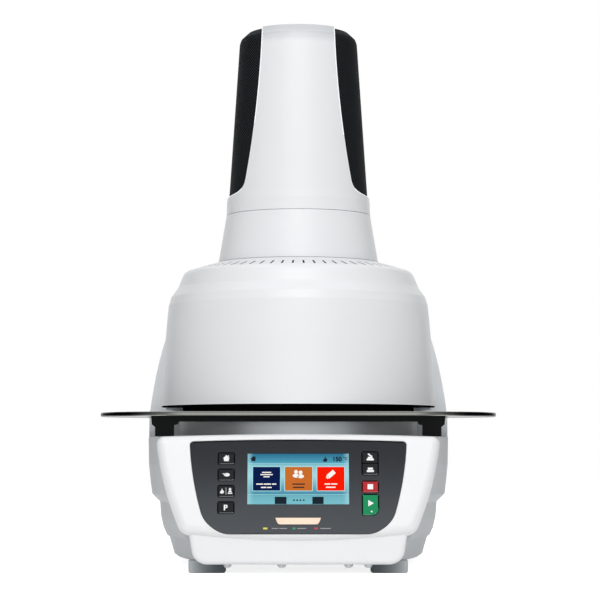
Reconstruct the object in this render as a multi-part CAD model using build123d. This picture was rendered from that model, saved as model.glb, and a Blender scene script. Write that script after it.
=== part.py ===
"""Dental laboratory press and firing furnace, as separate pieces.

Frame: X to the right, +Y to the rear, +Z up, millimetres. The origin lies on the bench, under the
middle of the footprint. The head, its tower and the firing base share one upright axis.
"""

from build123d import *
import math
import os

os.makedirs("parts", exist_ok=True)

# ---------------------------------------------------------------- driving dimensions (mm)
BODY_HALF = 160.0        # half the base's greatest width
BODY_FRONT = -158.0      # where the rear housing meets the front fascia
BODY_REAR = 210.6
WAIST_Y = 0.0            # the base is at its full width from here ...
REAR_WAIST_Y = 125.0     # ... to here
WALL = 3.0               # moulded wall of the base
DECK_Z = 133.0           # flat deck that carries the firing base
FLOOR_Z = 8.0            # underside of the bottom pan
FRONT_FLOOR_Z = 12.0     # underside of its tongue, inside the fascia's skirt
LEDGE_Z = 66.0           # lower edge of the rear housing, a finger ledge all round
COLLAR_TOP = 262.0       # top of the collar behind the head
COLLAR_FRONT = 26.0      # where the collar's side wings leave the deck

HEAD_Y = -20.0           # axis of the head, the tower and the firing base
RIM_Z = 165.5            # lower rim of the closed head
RIM_R = 144.2
SHOULDER_Z = 316.0       # seat of the neck on the head
NECK_R = 84.4
SEAM_Z = 366.3           # seam between the neck and the tower
TOWER_FOOT_R = 76.0
TOWER_TOP = 562.0
HEAD_WALL = 2.6

HINGE_Y = 168.0
HINGE_Z = 238.0
PIN_R = 6.0
RUNNING = 0.05           # radial clearance of a running fit

TRAY_TOP = 157.7
TRAY_T = 4.2
TRAY_HALF = 202.8
TRAY_FRONT = -168.0
TRAY_REAR = 18.0
TRAY_SLOT_R = 117.0      # the tray's rear slot clears the seal plate

SEAT_Z = TRAY_TOP - TRAY_T      # the tray and the seal plate rest at this height
DRUM_R = 124.6           # drum under the seal plate
DRUM_GAP = 2.4           # between the drum and the housing's shelf
SHELF_Z = 163.0          # shelf behind the drum, just below the head's rim
COLLAR_GAP = 6.8         # between the head's rim and the collar
SEAL_TOP = 158.7         # top of the base's seal plate
PLATE_LOW = SEAL_TOP + 0.6      # underside of the head's bottom plate
PLATE_IN = PLATE_LOW + 3.0      # its upper face, on which insulation and muffle stand
SEAL_R = 114.5
CHAMBER_R = 46.5
MUFFLE_R = 58.5
CHAMBER_TOP = 240.0
PLUNGER_TIP = 236.0

PANEL_TILT = 17.0        # lean of the control panel from upright, degrees
PANEL_FOOT = (0.0, -212.0, 38.4)
PANEL_DROP = 0.8         # the panel lies this far below the bezel's face
PANEL_T = 3.2
KEY_W, KEY_H = 15.6, 11.4
KEY_U = 70.1             # key columns, left and right of the middle
KEY_PITCH = 16.5

VENT_COUNT = 64
VENT_R = (101.0, 115.0)
VENT_W = 1.8

FOOT_X, FOOT_W, FOOT_D = 89.0, 36.0, 30.0
FOOT_Y = (-174.0, 165.0)
SCREW_X, SCREW_Y = (-69.0, -16.0, 49.0, 68.5), -192.0   # screws of the front tongue


# ---------------------------------------------------------------- helpers
def save(shape, node):
    """Write one node, its solids in one compound when there are several."""
    solids = shape.solids()
    export_step(solids[0] if len(solids) == 1 else Compound(children=list(solids)), f"parts/{node}.step")


def block(x0, x1, y0, y1, z0, z1):
    """Box between two corners."""
    return Pos((x0 + x1) / 2, (y0 + y1) / 2, (z0 + z1) / 2) * Box(x1 - x0, y1 - y0, z1 - z0)


def rod(radius, z0, z1, x=0.0, y=HEAD_Y):
    """Upright cylinder."""
    return Pos(x, y, (z0 + z1) / 2) * Cylinder(radius, z1 - z0)


def rod_x(radius, x0, x1, y=HINGE_Y, z=HINGE_Z):
    """Cylinder along X, on the hinge line unless placed elsewhere."""
    return Pos((x0 + x1) / 2, y, z) * Rot(0, 90, 0) * Cylinder(radius, x1 - x0)


def rod_y(radius, y0, y1, x, z):
    """Cylinder along Y."""
    return Pos(x, (y0 + y1) / 2, z) * Rot(90, 0, 0) * Cylinder(radius, y1 - y0)


def turned(*outline):
    """Solid of revolution about the head's axis, from (radius, height) points."""
    face = Plane.XZ * make_face(Polyline(*outline, close=True))
    return Pos(0, HEAD_Y, 0) * revolve(face, Axis.Z)


def thick_turned(line, wall):
    """Turned shell under an outer line of (radius, height) points, its wall measured level."""
    return turned(*line, *[(radius - wall, height) for radius, height in reversed(line)])


def front_view(face, y0, y1):
    """Extrude an (x, z) face from y0 to y1."""
    return Pos(0, y0, 0) * extrude(Plane.XZ * face, amount=-(y1 - y0))


def side_view(face, half):
    """Extrude a (y, z) face to both sides of the middle."""
    return extrude(Plane.YZ * face, amount=half, both=True)


def panel_plane(depth=0.0):
    """Plane of the bezel's face, or one that lies deeper; its y axis runs up the panel."""
    lean = math.radians(PANEL_TILT)
    normal = Vector(0, -math.cos(lean), math.sin(lean))
    return Plane(origin=Vector(*PANEL_FOOT) - normal * depth, x_dir=(1, 0, 0), z_dir=normal)


def on_panel(face, top, thickness):
    """Slab of a panel-plane face that starts at depth top below the bezel's face."""
    return extrude(panel_plane(top) * face, amount=-thickness)


def mirrored(shape):
    """Shape with its mirror image across the middle plane."""
    return shape + mirror(shape, about=Plane.YZ)


# ---------------------------------------------------------------- base: outlines
def plan(front, mid, rear, inset=0.0):
    """Plan of the base: narrow at the fascia, full width amidships, rounded behind."""
    half = [(front, BODY_FRONT), (mid, WAIST_Y), (mid, REAR_WAIST_Y), (rear, BODY_REAR)]
    points = half + [(-x, y) for x, y in reversed(half)]
    radii = [6, 500, 150, 32]
    face = make_face(FilletPolyline(*points, radius=radii + radii[::-1], close=True))
    return offset(face, amount=-inset) if inset else face


def base_loft(levels, inset=0.0):
    """Ruled loft through plan outlines given as (z, front, mid, rear)."""
    return loft([Pos(0, 0, z) * plan(front, mid, rear, inset) for z, front, mid, rear in levels], ruled=True)


PAN_STEP_Z = 30.0        # the pan steps in below this height
# (z, half width at the fascia, amidships, at the rear)
PAN_LEVELS = [(FLOOR_Z, 93, 130, 102), (FLOOR_Z + 2.5, 97, 133.5, 105), (PAN_STEP_Z, 105, 139, 111)]
PAN_UPPER_LEVELS = [(PAN_STEP_Z, 108, 141, 113), (38, 114, 144.5, 117), (50, 117, 147.2, 119),
                    (LEDGE_Z, 119, 148.4, 120)]
HOUSING_LEVELS = [(LEDGE_Z, 120, 149, 121), (74, 124, 157.5, 127), (105, 133, BODY_HALF, 130),
                  (DECK_Z, 138, BODY_HALF, 131)]


def collar_front_view(top, half, crest, low):
    """Front view of the collar: walls that lean in a little, then a rounded shoulder."""
    knee = (half - 16.8, top - 12)
    edges = [
        Line((half, low), (half, 138)), Bezier((half, 138), (half - 1.5, 170), (half - 8.5, 215), knee),
        Bezier(knee, (half - 19, top - 3), (crest + 10, top), (crest, top)), Line((crest, top), (0, top)),
        Line((0, top), (0, low)), Line((0, low), (half, low)),
    ]
    face = make_face(edges)
    return face + mirror(face, about=Plane.YZ)


def collar_side_view(top, foot, rear, low):
    """Side view of the collar: its front edge sweeps back from the deck to the crest."""
    sweep_top = 124 + foot
    edges = [
        Line((foot, low), (rear, low)), Line((rear, low), (rear, 225)),
        Bezier((rear, 225), (rear, top), (rear - 8, top), (rear - 34, top)),
        Line((rear - 34, top), (sweep_top, top)),
        Bezier((sweep_top, top), (sweep_top - 70, top), (foot + 4, 200), (foot, DECK_Z + 2)),
        Line((foot, DECK_Z + 2), (foot, low)),
    ]
    return make_face(edges)


def collar_block(low, inset=0.0):
    """The collar and shelf behind the head, as the meeting of its plan, front and side views."""
    top = COLLAR_TOP - inset
    plan_part = extrude(Pos(0, 0, low) * plan(138, BODY_HALF, 131, inset), amount=top - low)
    front_face = collar_front_view(top, BODY_HALF + 1 - inset, 126 - inset, low)
    front_part = front_view(front_face, BODY_FRONT, BODY_REAR + 1)
    side_part = side_view(collar_side_view(top, COLLAR_FRONT + inset, BODY_REAR - inset, low), BODY_HALF + 10)
    body = plan_part & front_part & side_part
    body -= rod(DRUM_R + DRUM_GAP + inset, low - 1, COLLAR_TOP + 1)
    return body - rod(RIM_R + COLLAR_GAP + inset, SHELF_Z - inset, COLLAR_TOP + 1)


RECESS = (-62.0, 62.0, 100.0, 198.0, 190.0, 275.0)     # room for the hinge, open above and in front
POCKET = (-82.0, 82.0, 75.0, 125.0)                    # x0, x1, z0, z1 of the connector pocket
POCKET_Y = 182.0         # floor of the pocket
PLATE_Y = POCKET_Y + 1.6        # outer face of the connector plate on that floor


def rear_housing():
    """Hollow rear moulding: side walls, deck and the collar that carries the hinge."""
    x0, x1, y0, y1, z0, z1 = RECESS
    outer = base_loft(HOUSING_LEVELS) + collar_block(DECK_Z)
    (_, *foot_widths), *middle, (_, *top_widths) = HOUSING_LEVELS
    hollow = base_loft([(LEDGE_Z - 1, *foot_widths)] + middle + [(DECK_Z - WALL, *top_widths)], WALL)
    hollow += collar_block(DECK_Z - WALL - 1, WALL + 0.4)
    hollow -= block(x0 - WALL, x1 + WALL, y0, y1 + WALL, z0 - WALL, z1)
    px0, px1, pz0, pz1 = POCKET
    hollow -= block(px0 - WALL, px1 + WALL, POCKET_Y - WALL, BODY_REAR, pz0 - WALL, pz1 + WALL)
    body = outer - hollow - block(x0, x1, y0, y1, z0, z1) - rod_x(PIN_R + 2, x0 - WALL - 1, x0 + 1)
    body -= block(px0, px1, POCKET_Y, BODY_REAR + 1, pz0, pz1)
    return body - block(px0 + 4, px1 - 4, POCKET_Y - WALL - 1, POCKET_Y + 1, pz0 + 4, pz1 - 4)


def bottom_pan():
    """Moulded tray under the base, stepped in twice, with a tongue that reaches into the fascia."""
    body = base_loft(PAN_LEVELS) + base_loft(PAN_UPPER_LEVELS)
    _, (_, *low_widths), (_, *step_widths) = PAN_LEVELS
    (_, *ledge_widths), *middle, (_, *top_widths) = PAN_UPPER_LEVELS
    neck_z = PAN_STEP_Z + 1
    body -= base_loft([(FLOOR_Z + WALL, *low_widths), (neck_z, *step_widths)], WALL)
    body -= base_loft([(neck_z, *step_widths), (neck_z + WALL, *step_widths)], WALL)
    body -= base_loft([(PAN_STEP_Z + WALL, *ledge_widths)] + middle + [(LEDGE_Z + 1, *top_widths)], WALL)
    body += block(-88, 88, -198, BODY_FRONT + 2, FRONT_FLOOR_Z, FRONT_FLOOR_Z + WALL)
    body -= [rod(2.0, FRONT_FLOOR_Z - 1, FRONT_FLOOR_Z + WALL + 1, x, SCREW_Y) for x in SCREW_X]
    slots = [block(x, x + 4, y, y + 46, FLOOR_Z - 1, FLOOR_Z + WALL + 1)
             for x in range(-14, 57, 10) for y in (-130, 110)]
    return body - slots


# ---------------------------------------------------------------- base: fascia and control panel
def shield(top, foot, crown, belly, bow, top_r, foot_r):
    """Face on the panel plane: broad at the top, narrower at the foot, every long edge bowed."""
    (tx, tv), (fx, fv) = top, foot
    mid = ((tx + fx) / 2 + bow, (tv + fv) / 2)
    face = make_face([
        ThreePointArc((-tx, tv), (0, tv + crown), (tx, tv)), ThreePointArc((tx, tv), mid, (fx, fv)),
        ThreePointArc((fx, fv), (0, fv - belly), (-fx, fv)),
        ThreePointArc((-fx, fv), (-mid[0], mid[1]), (-tx, tv)),
    ])
    corners = face.vertices().sort_by(Axis.Y)
    face = fillet(corners[2:], radius=top_r)
    corners = face.vertices().sort_by(Axis.Y)
    return fillet(corners[:2], radius=foot_r)


def fascia_face(inset=0.0):
    """Outline of the bezel."""
    return shield((140 - inset, 98.5 - inset), (113 - inset, -1 + inset), 2.7, 6.0, 4.2, 8.0, 14.0)


def panel_face(grow=0.0):
    """Outline of the dark control panel."""
    return shield((106 + grow, 93.5 + grow), (87.5 + grow, 1.8 - grow), 2.0, 0.9, 3.6, 4.0, 30.0)


def skirt_face(inset=0.0):
    """Outline of the fascia's lower skirt, seen from the front."""
    points = [(-107 + inset, 46), (-101 + inset, 8.8 + inset), (101 - inset, 8.8 + inset), (107 - inset, 46)]
    return make_face(FilletPolyline(*points, radius=[1, 15, 15, 1], close=True))


SKIRT_FRONT = -206.0
BEZEL_T = 7.0            # depth of the fascia's face, at the panel's seat


def bezel_edges(shape, outer):
    """Edges that lie in the bezel's face: its outer loop, or the loop round the panel."""
    plane = panel_plane()
    flat = [e for e in shape.edges()
            if all(abs(plane.to_local_coords(v.center()).Z) < 0.01 for v in e.vertices())]
    probe = [(e, plane.to_local_coords(e.center())) for e in flat]
    inside = [e for e, p in probe if abs(p.X) < 107.5 and 0.2 < p.Y < 97.0]
    return [e for e in flat if e not in inside] if outer else inside


def front_fascia():
    """White front moulding: a soft-edged bezel over a skirt, hollow, with the panel's seat."""
    bezel = extrude(panel_plane() * fascia_face(), amount=110, dir=(0, 1, 0))
    bezel = fillet(bezel_edges(bezel, outer=True), radius=8.5)
    skirt = front_view(skirt_face(), SKIRT_FRONT, BODY_FRONT)
    front_edges = skirt.faces().sort_by(Axis.Y)[0].edges()
    skirt = fillet(front_edges.filter_by(lambda e: e.center().Z < 45), radius=4.5)
    body = bezel + skirt - block(-200, 200, BODY_FRONT, BODY_FRONT + 200, -10, 200)
    hollow = extrude(panel_plane(BEZEL_T) * fascia_face(WALL + 0.5), amount=110, dir=(0, 1, 0))
    hollow -= block(-200, 200, -260, 0, -20, 33)
    hollow += front_view(skirt_face(WALL), SKIRT_FRONT + WALL + 6, BODY_FRONT + 1)
    hollow += block(-97, 97, SKIRT_FRONT + WALL, BODY_FRONT + 1, 0, 20)
    body -= hollow
    room = 0.6
    foot_x = (FOOT_X - FOOT_W / 2 - room, FOOT_X + FOOT_W / 2 + room)
    foot_front = FOOT_Y[0] - FOOT_D / 2 - room
    body -= mirrored(block(*foot_x, foot_front, BODY_FRONT + 1, 0, FRONT_FLOOR_Z + room))
    body -= on_panel(panel_face(0.3), -1, 1 + PANEL_DROP + PANEL_T)
    windows = Pos(0, SCREEN_V) * Rectangle(SCREEN_W + 5, SCREEN_H + 5) + Pos(0, 13.4) * Rectangle(48, 9)
    for side in (-1, 1):
        windows += Pos(side * KEY_U, 51.5) * Rectangle(20, 70)
    body -= on_panel(windows, 0, BEZEL_T + 3)
    return fillet(bezel_edges(body, outer=False), radius=0.7)


SCREEN_W, SCREEN_H, SCREEN_V = 98.8, 51.2, 55.9
LEFT_KEYS = ["key_home", "key_programs", "key_heating", "key_options"]
LEFT_TOP_V = 76.4
# node: (v of its middle, height)
RIGHT_KEYS = {"key_open_head": (77.6, 11.2), "key_close_head": (65.6, 11.2), "key_stop": (47.8, KEY_H),
              "key_start": (29.6, 20.8)}
KEY_PROUD, KEY_FLANGE = 0.3, 1.2
HEAD_KEYS = (71.6, 23.2)         # middle and height of the opening that the two head keys share


def key_places():
    """Every key's node, middle (u, v) and height."""
    left = [(node, -KEY_U, LEFT_TOP_V - KEY_PITCH * i, KEY_H) for i, node in enumerate(LEFT_KEYS)]
    return left + [(node, KEY_U, v, h) for node, (v, h) in RIGHT_KEYS.items()]


def key_face(node, u, v, height, grow=0.0):
    """Outline of a key; the start key has one broad corner."""
    face = Rectangle(KEY_W + 2 * grow, height + 2 * grow)
    corners = face.vertices().sort_by(lambda p: p.X - p.Y)
    broad = 7.0 if node == "key_start" else 1.6
    face = fillet(corners[:3], radius=1.6 + grow)
    corners = face.vertices().sort_by(lambda p: p.X - p.Y)
    return Pos(u, v) * fillet(corners[-1:], radius=broad + grow)


def lens_face(grow=0.0):
    """Outline of the status light: level top, narrowing rounded foot."""
    top, foot = (22.2 + grow, 16.7 + grow), (19.4 + grow, 10.2 - grow)
    points = [(-top[0], top[1]), top, foot, (-foot[0], foot[1])]
    return make_face(FilletPolyline(*points, radius=[0.6, 0.6, 3.0, 3.0], close=True))


def control_panel():
    """Dark panel plate with its screen window, key holes and light slot."""
    plate = on_panel(panel_face(), PANEL_DROP, PANEL_T)
    plate -= on_panel(Pos(0, SCREEN_V) * Rectangle(SCREEN_W + 0.4, SCREEN_H + 0.4), 0, 5)
    plate -= on_panel(lens_face(0.15), 0, 5)
    openings = [place for place in key_places() if "head" not in place[0]]
    openings.append(("head_keys", KEY_U, *HEAD_KEYS))
    for node, u, v, height in openings:
        plate -= on_panel(key_face(node, u, v, height, 0.3), 0, 5)
    return plate


def key(node, u, v, height):
    """Key cap with the flange that keeps it behind the panel; the head keys' flanges stop between them."""
    back = PANEL_DROP + PANEL_T + 0.1
    lip, shift = 0.9, {"key_open_head": 0.3, "key_close_head": -0.3}.get(node, 0.0)
    cap = on_panel(key_face(node, u, v, height), PANEL_DROP - KEY_PROUD, back - PANEL_DROP + KEY_PROUD)
    top = panel_plane(PANEL_DROP - KEY_PROUD)
    rim = [e for e in cap.edges()
           if all(abs(top.to_local_coords(p.center()).Z) < 0.01 for p in e.vertices())]
    cap = chamfer(rim, 0.25)
    flange = Pos(u, v + shift) * Rectangle(KEY_W + 2 * lip, height + 2 * lip - 2 * abs(shift))
    return cap + on_panel(flange, back, KEY_FLANGE)


def display_screen():
    """Touch glass, just below the panel's face."""
    return on_panel(Pos(0, SCREEN_V) * Rectangle(SCREEN_W, SCREEN_H), PANEL_DROP + 0.3, 1.8)


def display_module():
    """Flat screen module in its metal frame, behind the glass."""
    top = PANEL_DROP + 2.1
    frame = on_panel(Pos(0, SCREEN_V) * RectangleRounded(SCREEN_W, SCREEN_H, 1.0), top, 4.4)
    back = Pos(0, SCREEN_V) * RectangleRounded(SCREEN_W - 8, SCREEN_H - 8, 1.0)
    return frame + on_panel(back, top + 4.4, 1.2)


BOARD_DEPTH = 8.5        # face of the key board below the bezel's face


def key_board():
    """Circuit board behind the panel with one short-travel switch under each key."""
    outline = Pos(0, 47) * RectangleRounded(168, 78, 4.0)
    board = on_panel(outline, BOARD_DEPTH, 1.6)
    for _, u, v, _height in key_places():
        board += on_panel(Pos(u, v) * Rectangle(6.2, 6.2), BOARD_DEPTH - 1.6, 1.6)
        board += on_panel(Pos(u, v) * Circle(1.7), BOARD_DEPTH - 2.0, 0.4)
    for u in (-55.5, 55.5):
        for v in (13, 82):
            board += on_panel(Pos(u, v) * Circle(2.4), BEZEL_T, BOARD_DEPTH - BEZEL_T)
    board += on_panel(Pos(0, 13.4) * Rectangle(36, 4), BOARD_DEPTH - 1.2, 1.2)
    return board + on_panel(Pos(30, 52) * Rectangle(22, 22), BOARD_DEPTH + 1.6, 2.4)


def status_light_lens():
    """Moulded light bar under the screen."""
    return on_panel(lens_face(), PANEL_DROP - 0.1, BOARD_DEPTH - 1.2 - PANEL_DROP + 0.1)


# ---------------------------------------------------------------- base: deck furniture
FIBRE_R, HUB_R = 95.0, 60.0      # fibre disc under the chamber, and its hub through the seal plate
GROOVE_R, GROOVE_W, GROOVE_DEPTH = 103.0, 5.0, 4.0


def firing_base():
    """Drum that carries the seal plate, hollow, with a top flange."""
    wall_r, flange_r = DRUM_R - 6.6, FIBRE_R + 1
    return turned((wall_r, DECK_Z), (DRUM_R, DECK_Z), (DRUM_R, SEAT_Z - 2), (DRUM_R - 2, SEAT_Z),
                  (flange_r, SEAT_Z), (flange_r, SEAT_Z - 4), (wall_r, SEAT_Z - 4))


def base_insulation():
    """Fibre disc under the chamber, stepped up through the seal plate."""
    return turned((0, DECK_Z), (FIBRE_R, DECK_Z), (FIBRE_R, SEAT_Z), (HUB_R, SEAT_Z), (HUB_R, SEAL_TOP - 1),
                  (0, SEAL_TOP - 1))


def seal_plate():
    """Steel plate with the seal's groove."""
    bore, floor = HUB_R + 0.5, SEAL_TOP - GROOVE_DEPTH
    inside, outside = GROOVE_R - GROOVE_W / 2, GROOVE_R + GROOVE_W / 2
    return turned((bore, SEAT_Z), (SEAL_R, SEAT_Z), (SEAL_R, SEAL_TOP - 1), (SEAL_R - 1, SEAL_TOP),
                  (outside, SEAL_TOP), (outside, floor), (inside, floor), (inside, SEAL_TOP),
                  (bore, SEAL_TOP))


def seal_ring():
    """Silicone ring that stands a little above its groove."""
    section = Pos(GROOVE_R, SEAL_TOP - 1.9) * RegularPolygon(2.1, 8, rotation=22.5)
    return Pos(0, HEAD_Y, 0) * revolve(Plane.XZ * section, Axis.Z)


def firing_table():
    """Round ceramic table with a shallow dish for the muffle."""
    low = SEAL_TOP - 1
    return turned((0, low), (30, low), (30, low + 2), (38, low + 2), (38, low + 7), (37, low + 8),
                  (28, low + 8), (28, low + 6), (0, low + 6))


HOLDER_Y = (-157.0, -145.0)


def tray_holder():
    """Black frame on the deck: two posts with chamfered heads and the bar between them."""
    bar_z = SEAT_Z - 5.7
    half = [(-146, SEAT_Z), (-145.2, 144.8), (-142, 142.4), (-142, DECK_Z), (-123.6, DECK_Z), (-123.6, 144.2),
            (-120.4, 145.0), (-119, 146.4), (-119, bar_z)]
    face = make_face(Polyline(*half, *[(-x, z) for x, z in reversed(half)], close=True))
    frame = front_view(face, *HOLDER_Y)
    tabs = block(-139, -126, HOLDER_Y[1], HOLDER_Y[1] + 16, DECK_Z, DECK_Z + 3)
    tabs -= rod(2.3, DECK_Z - 1, DECK_Z + 4, -132.5, HOLDER_Y[1] + 9)
    return frame + mirrored(tabs)


def holder_screws():
    """Two pan-head screws that hold the frame down."""
    screw = rod(4.0, DECK_Z + 3, DECK_Z + 5.6, -132.5, HOLDER_Y[1] + 9)
    screw = chamfer(screw.edges().sort_by(Axis.Z)[-1], length=1.2)
    screw -= rod(1.6, DECK_Z + 4.2, DECK_Z + 6, -132.5, HOLDER_Y[1] + 9)
    return mirrored(screw + rod(2.2, DECK_Z, DECK_Z + 3, -132.5, HOLDER_Y[1] + 9))


def cooling_tray():
    """Round-ended plate, slotted from the rear so that it slides forward off the seal plate."""
    mid = (TRAY_FRONT + TRAY_REAR) / 2
    depth = TRAY_REAR - TRAY_FRONT
    plate = Pos(0, mid, TRAY_TOP - TRAY_T / 2) * extrude(
        RectangleRounded(2 * TRAY_HALF, depth, depth / 2 - 0.5), amount=TRAY_T / 2, both=True)
    plate = chamfer(plate.edges().group_by(Axis.Z)[-1] + plate.edges().group_by(Axis.Z)[0], length=0.8)
    slot = rod(TRAY_SLOT_R, TRAY_TOP - TRAY_T - 1, TRAY_TOP + 1)
    slot += block(-TRAY_SLOT_R, TRAY_SLOT_R, HEAD_Y, TRAY_REAR + 5, TRAY_TOP - TRAY_T - 1, TRAY_TOP + 1)
    return plate - slot


def rubber_feet():
    """Four wide feet with rounded soles, two under the tongue and two at the rear."""
    feet = []
    for y, top in zip(FOOT_Y, (FRONT_FLOOR_Z, FLOOR_Z)):
        foot = Pos(FOOT_X, y, top / 2) * Box(FOOT_W, FOOT_D, top)
        foot = fillet(foot.edges().filter_by(Axis.Z), radius=4.0)
        feet.append(chamfer(foot.edges().group_by(Axis.Z)[0], length=1.2))
    return mirrored(Compound(children=feet[:1])) + mirrored(Compound(children=feet[1:]))


def pan_screws():
    """Domed screws on the tongue, seen just under the skirt."""
    screws = []
    for x in SCREW_X:
        shank = rod(2.0, FRONT_FLOOR_Z, FRONT_FLOOR_Z + WALL, x, SCREW_Y)
        head = rod(4.2, FRONT_FLOOR_Z - 6.6, FRONT_FLOOR_Z, x, SCREW_Y)
        screws.append(shank + chamfer(head.edges().sort_by(Axis.Z)[0], length=1.8))
    return Compound(children=screws)


# ---------------------------------------------------------------- base: inside and rear
def mains_transformer():
    """Laminated core with its winding and feet."""
    core = block(-118, -28, 20, 92, 16, 86)
    core -= [block(x, x + 16, 19, 93, 32, 70) for x in (-100, -62)]
    winding = block(-99.5, -46.5, 10, 102, 32.5, 69.5) - block(-84, -62, 9, 103, 32.5, 69.5)
    feet = block(-124, -22, 30, 82, FLOOR_Z + WALL, 16)
    return core + winding + feet


def power_board():
    """Control and power board on standoffs, with its heat sink and capacitors."""
    board = block(-14, 108, -60, 90, 22, 23.6)
    for x in (-8, 102):
        for y in (-54, 84):
            board += rod(3.0, FLOOR_Z + WALL, 22, x, y)
    sink = block(48, 104, 10, 60, 23.6, 52)
    for i in range(6):
        sink -= block(52 + 9 * i, 57 + 9 * i, 9, 61, 28, 53)
    for y in (-40, -18):
        sink += rod(9, 23.6, 50, 20, y)
    return board + sink


# cut-outs of the connector plate: (middle x, z), (width, height)
PORTS = {"mains_inlet": ((-60.0, 100.0), (27.4, 19.8)), "pump_outlet": ((-22.0, 100.0), (27.4, 19.8)),
         "mains_switch": ((32.0, 100.0), (19.4, 27.4)), "usb_port": ((53.0, 112.0), (13.4, 6.2))}
FUSE_X, FUSE_Z = 7.0, (90.0, 110.0)
NIPPLE = (66.0, 94.0)


def rear_panel():
    """Metal connector plate on the floor of the housing's pocket."""
    x0, x1, z0, z1 = POCKET
    plate = block(x0 + 0.5, x1 - 0.5, POCKET_Y, PLATE_Y, z0 + 0.5, z1 - 0.5)
    for (cx, cz), (w, h) in PORTS.values():
        plate -= Pos(cx, PLATE_Y, cz) * Box(w, 8, h)
    for z in FUSE_Z:
        plate -= rod_y(6.2, PLATE_Y - 4, PLATE_Y + 4, FUSE_X, z)
    return plate - rod_y(5.2, PLATE_Y - 4, PLATE_Y + 4, *NIPPLE)


def port_body(node, flange, depth):
    """Connector body through the plate with its outside flange."""
    (cx, cz), (w, h) = PORTS[node]
    fw, fh = flange
    rim = Pos(cx, PLATE_Y + 1.0, cz) * Box(fw, 2.0, fh)
    rim = fillet(rim.edges().filter_by(Axis.Y), radius=2.0)
    return rim + block(cx - w / 2, cx + w / 2, PLATE_Y - depth, PLATE_Y, cz - h / 2, cz + h / 2)


def inlet_face(cx, cz, grow=0.0):
    """Mains connector outline with its two cut corners."""
    w, h = 12.0 + grow, 8.0 + grow
    points = [(-w, -h), (w, -h), (w, h - 4.5), (w - 4.5, h), (-w + 4.5, h), (-w, h - 4.5)]
    return Pos(cx, cz) * make_face(Polyline(*points, close=True))


def mains_inlet():
    """Cold-appliance inlet: socket well and three blades."""
    (cx, cz), _ = PORTS["mains_inlet"]
    body = port_body("mains_inlet", (31, 24), 24)
    body -= front_view(inlet_face(cx, cz), PLATE_Y - 16, PLATE_Y + 3)
    for dx, dz in ((-7, -2), (7, -2), (0, 3)):
        body += block(cx + dx - 1, cx + dx + 1, PLATE_Y - 17, PLATE_Y - 4.6, cz + dz - 2, cz + dz + 2)
    return body


def pump_outlet():
    """Appliance outlet for the vacuum pump: raised core with three slots."""
    (cx, cz), _ = PORTS["pump_outlet"]
    body = port_body("pump_outlet", (31, 24), 24)
    for dx, dz in ((-7, -2), (7, -2), (0, 3)):
        body -= block(cx + dx - 1.3, cx + dx + 1.3, PLATE_Y - 18, PLATE_Y + 3, cz + dz - 2.4, cz + dz + 2.4)
    return body


def fuse_holders():
    """Two panel fuse holders with slotted caps."""
    holders = []
    for z in FUSE_Z:
        holder = rod_y(6.2, PLATE_Y - 26, PLATE_Y, FUSE_X, z) + rod_y(8.2, PLATE_Y, PLATE_Y + 2.4, FUSE_X, z)
        cap = rod_y(5.6, PLATE_Y + 2.4, PLATE_Y + 5.0, FUSE_X, z)
        holders.append(holder + cap - Pos(FUSE_X, PLATE_Y + 5, z) * Box(8, 2.4, 1.4))
    return Compound(children=holders)


ROCKER_TILT = 10.0       # rest lean of the rocker, on its ON side
TRUNNION_R = 1.6


def rocker_pivot():
    """Point on the rocker's axis, which runs along X."""
    (cx, cz), _ = PORTS["mains_switch"]
    return cx, PLATE_Y - 4.0, cz


def switch_frame():
    """Frame of the mains switch, open for the rocker."""
    cx, _, cz = rocker_pivot()
    body = port_body("mains_switch", (23, 31), 20)
    body -= block(cx - 7.2, cx + 7.2, PLATE_Y - 15, PLATE_Y + 3, cz - 11.6, cz + 11.6)
    return body - rod_x(TRUNNION_R + RUNNING, cx - 8.6, cx + 8.6, PLATE_Y - 4, cz)


def switch_rocker():
    """Rocker: a round-backed body with two flat press faces."""
    cx, y, cz = rocker_pivot()
    points = [(-10.0, 3.0), (10.0, 3.0), (10.0, 5.2), (0, 4.0), (-10.0, 5.2)]
    face = make_face(Polyline(*points, close=True)) + Circle(5.5)
    rocker = extrude(Plane.YZ * (Rot(0, 0, -90) * face), amount=6.8, both=True)
    rocker += rod_x(TRUNNION_R, -8.4, 8.4, 0, 0)
    return Pos(cx, y, cz) * Rot(ROCKER_TILT, 0, 0) * rocker


def usb_port():
    """Data socket in its metal shell."""
    (cx, cz), _ = PORTS["usb_port"]
    shell = port_body("usb_port", (16, 9), 14)
    shell -= block(cx - 6.0, cx + 6.0, PLATE_Y - 10, PLATE_Y + 3, cz - 2.3, cz + 2.3)
    return shell + block(cx - 5.4, cx + 5.4, PLATE_Y - 11, PLATE_Y - 1, cz - 0.2, cz + 1.6)


NIPPLE_R = 4.5
NIPPLE_LENGTH = 14.0
NOSE = 4.0


def vacuum_nipple():
    """Hose nipple: hexagon and a plain stem with a tapered nose, for a hose and clip."""
    x, z = NIPPLE
    body = rod_y(5.2, PLATE_Y - 16, PLATE_Y, x, z)
    body += Pos(x, PLATE_Y + 5.0, z) * Rot(90, 0, 0) * extrude(RegularPolygon(8.0, 6), amount=5.0)
    start = PLATE_Y + 5.0
    body += rod_y(NIPPLE_R, start, start + NIPPLE_LENGTH, x, z)
    nose = Pos(x, start + NIPPLE_LENGTH + NOSE / 2, z) * Rot(-90, 0, 0) * Cone(NIPPLE_R, NIPPLE_R - 1.1, NOSE)
    return body + nose - rod_y(2.2, PLATE_Y - 17, start + NIPPLE_LENGTH + NOSE + 1, x, z)


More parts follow.
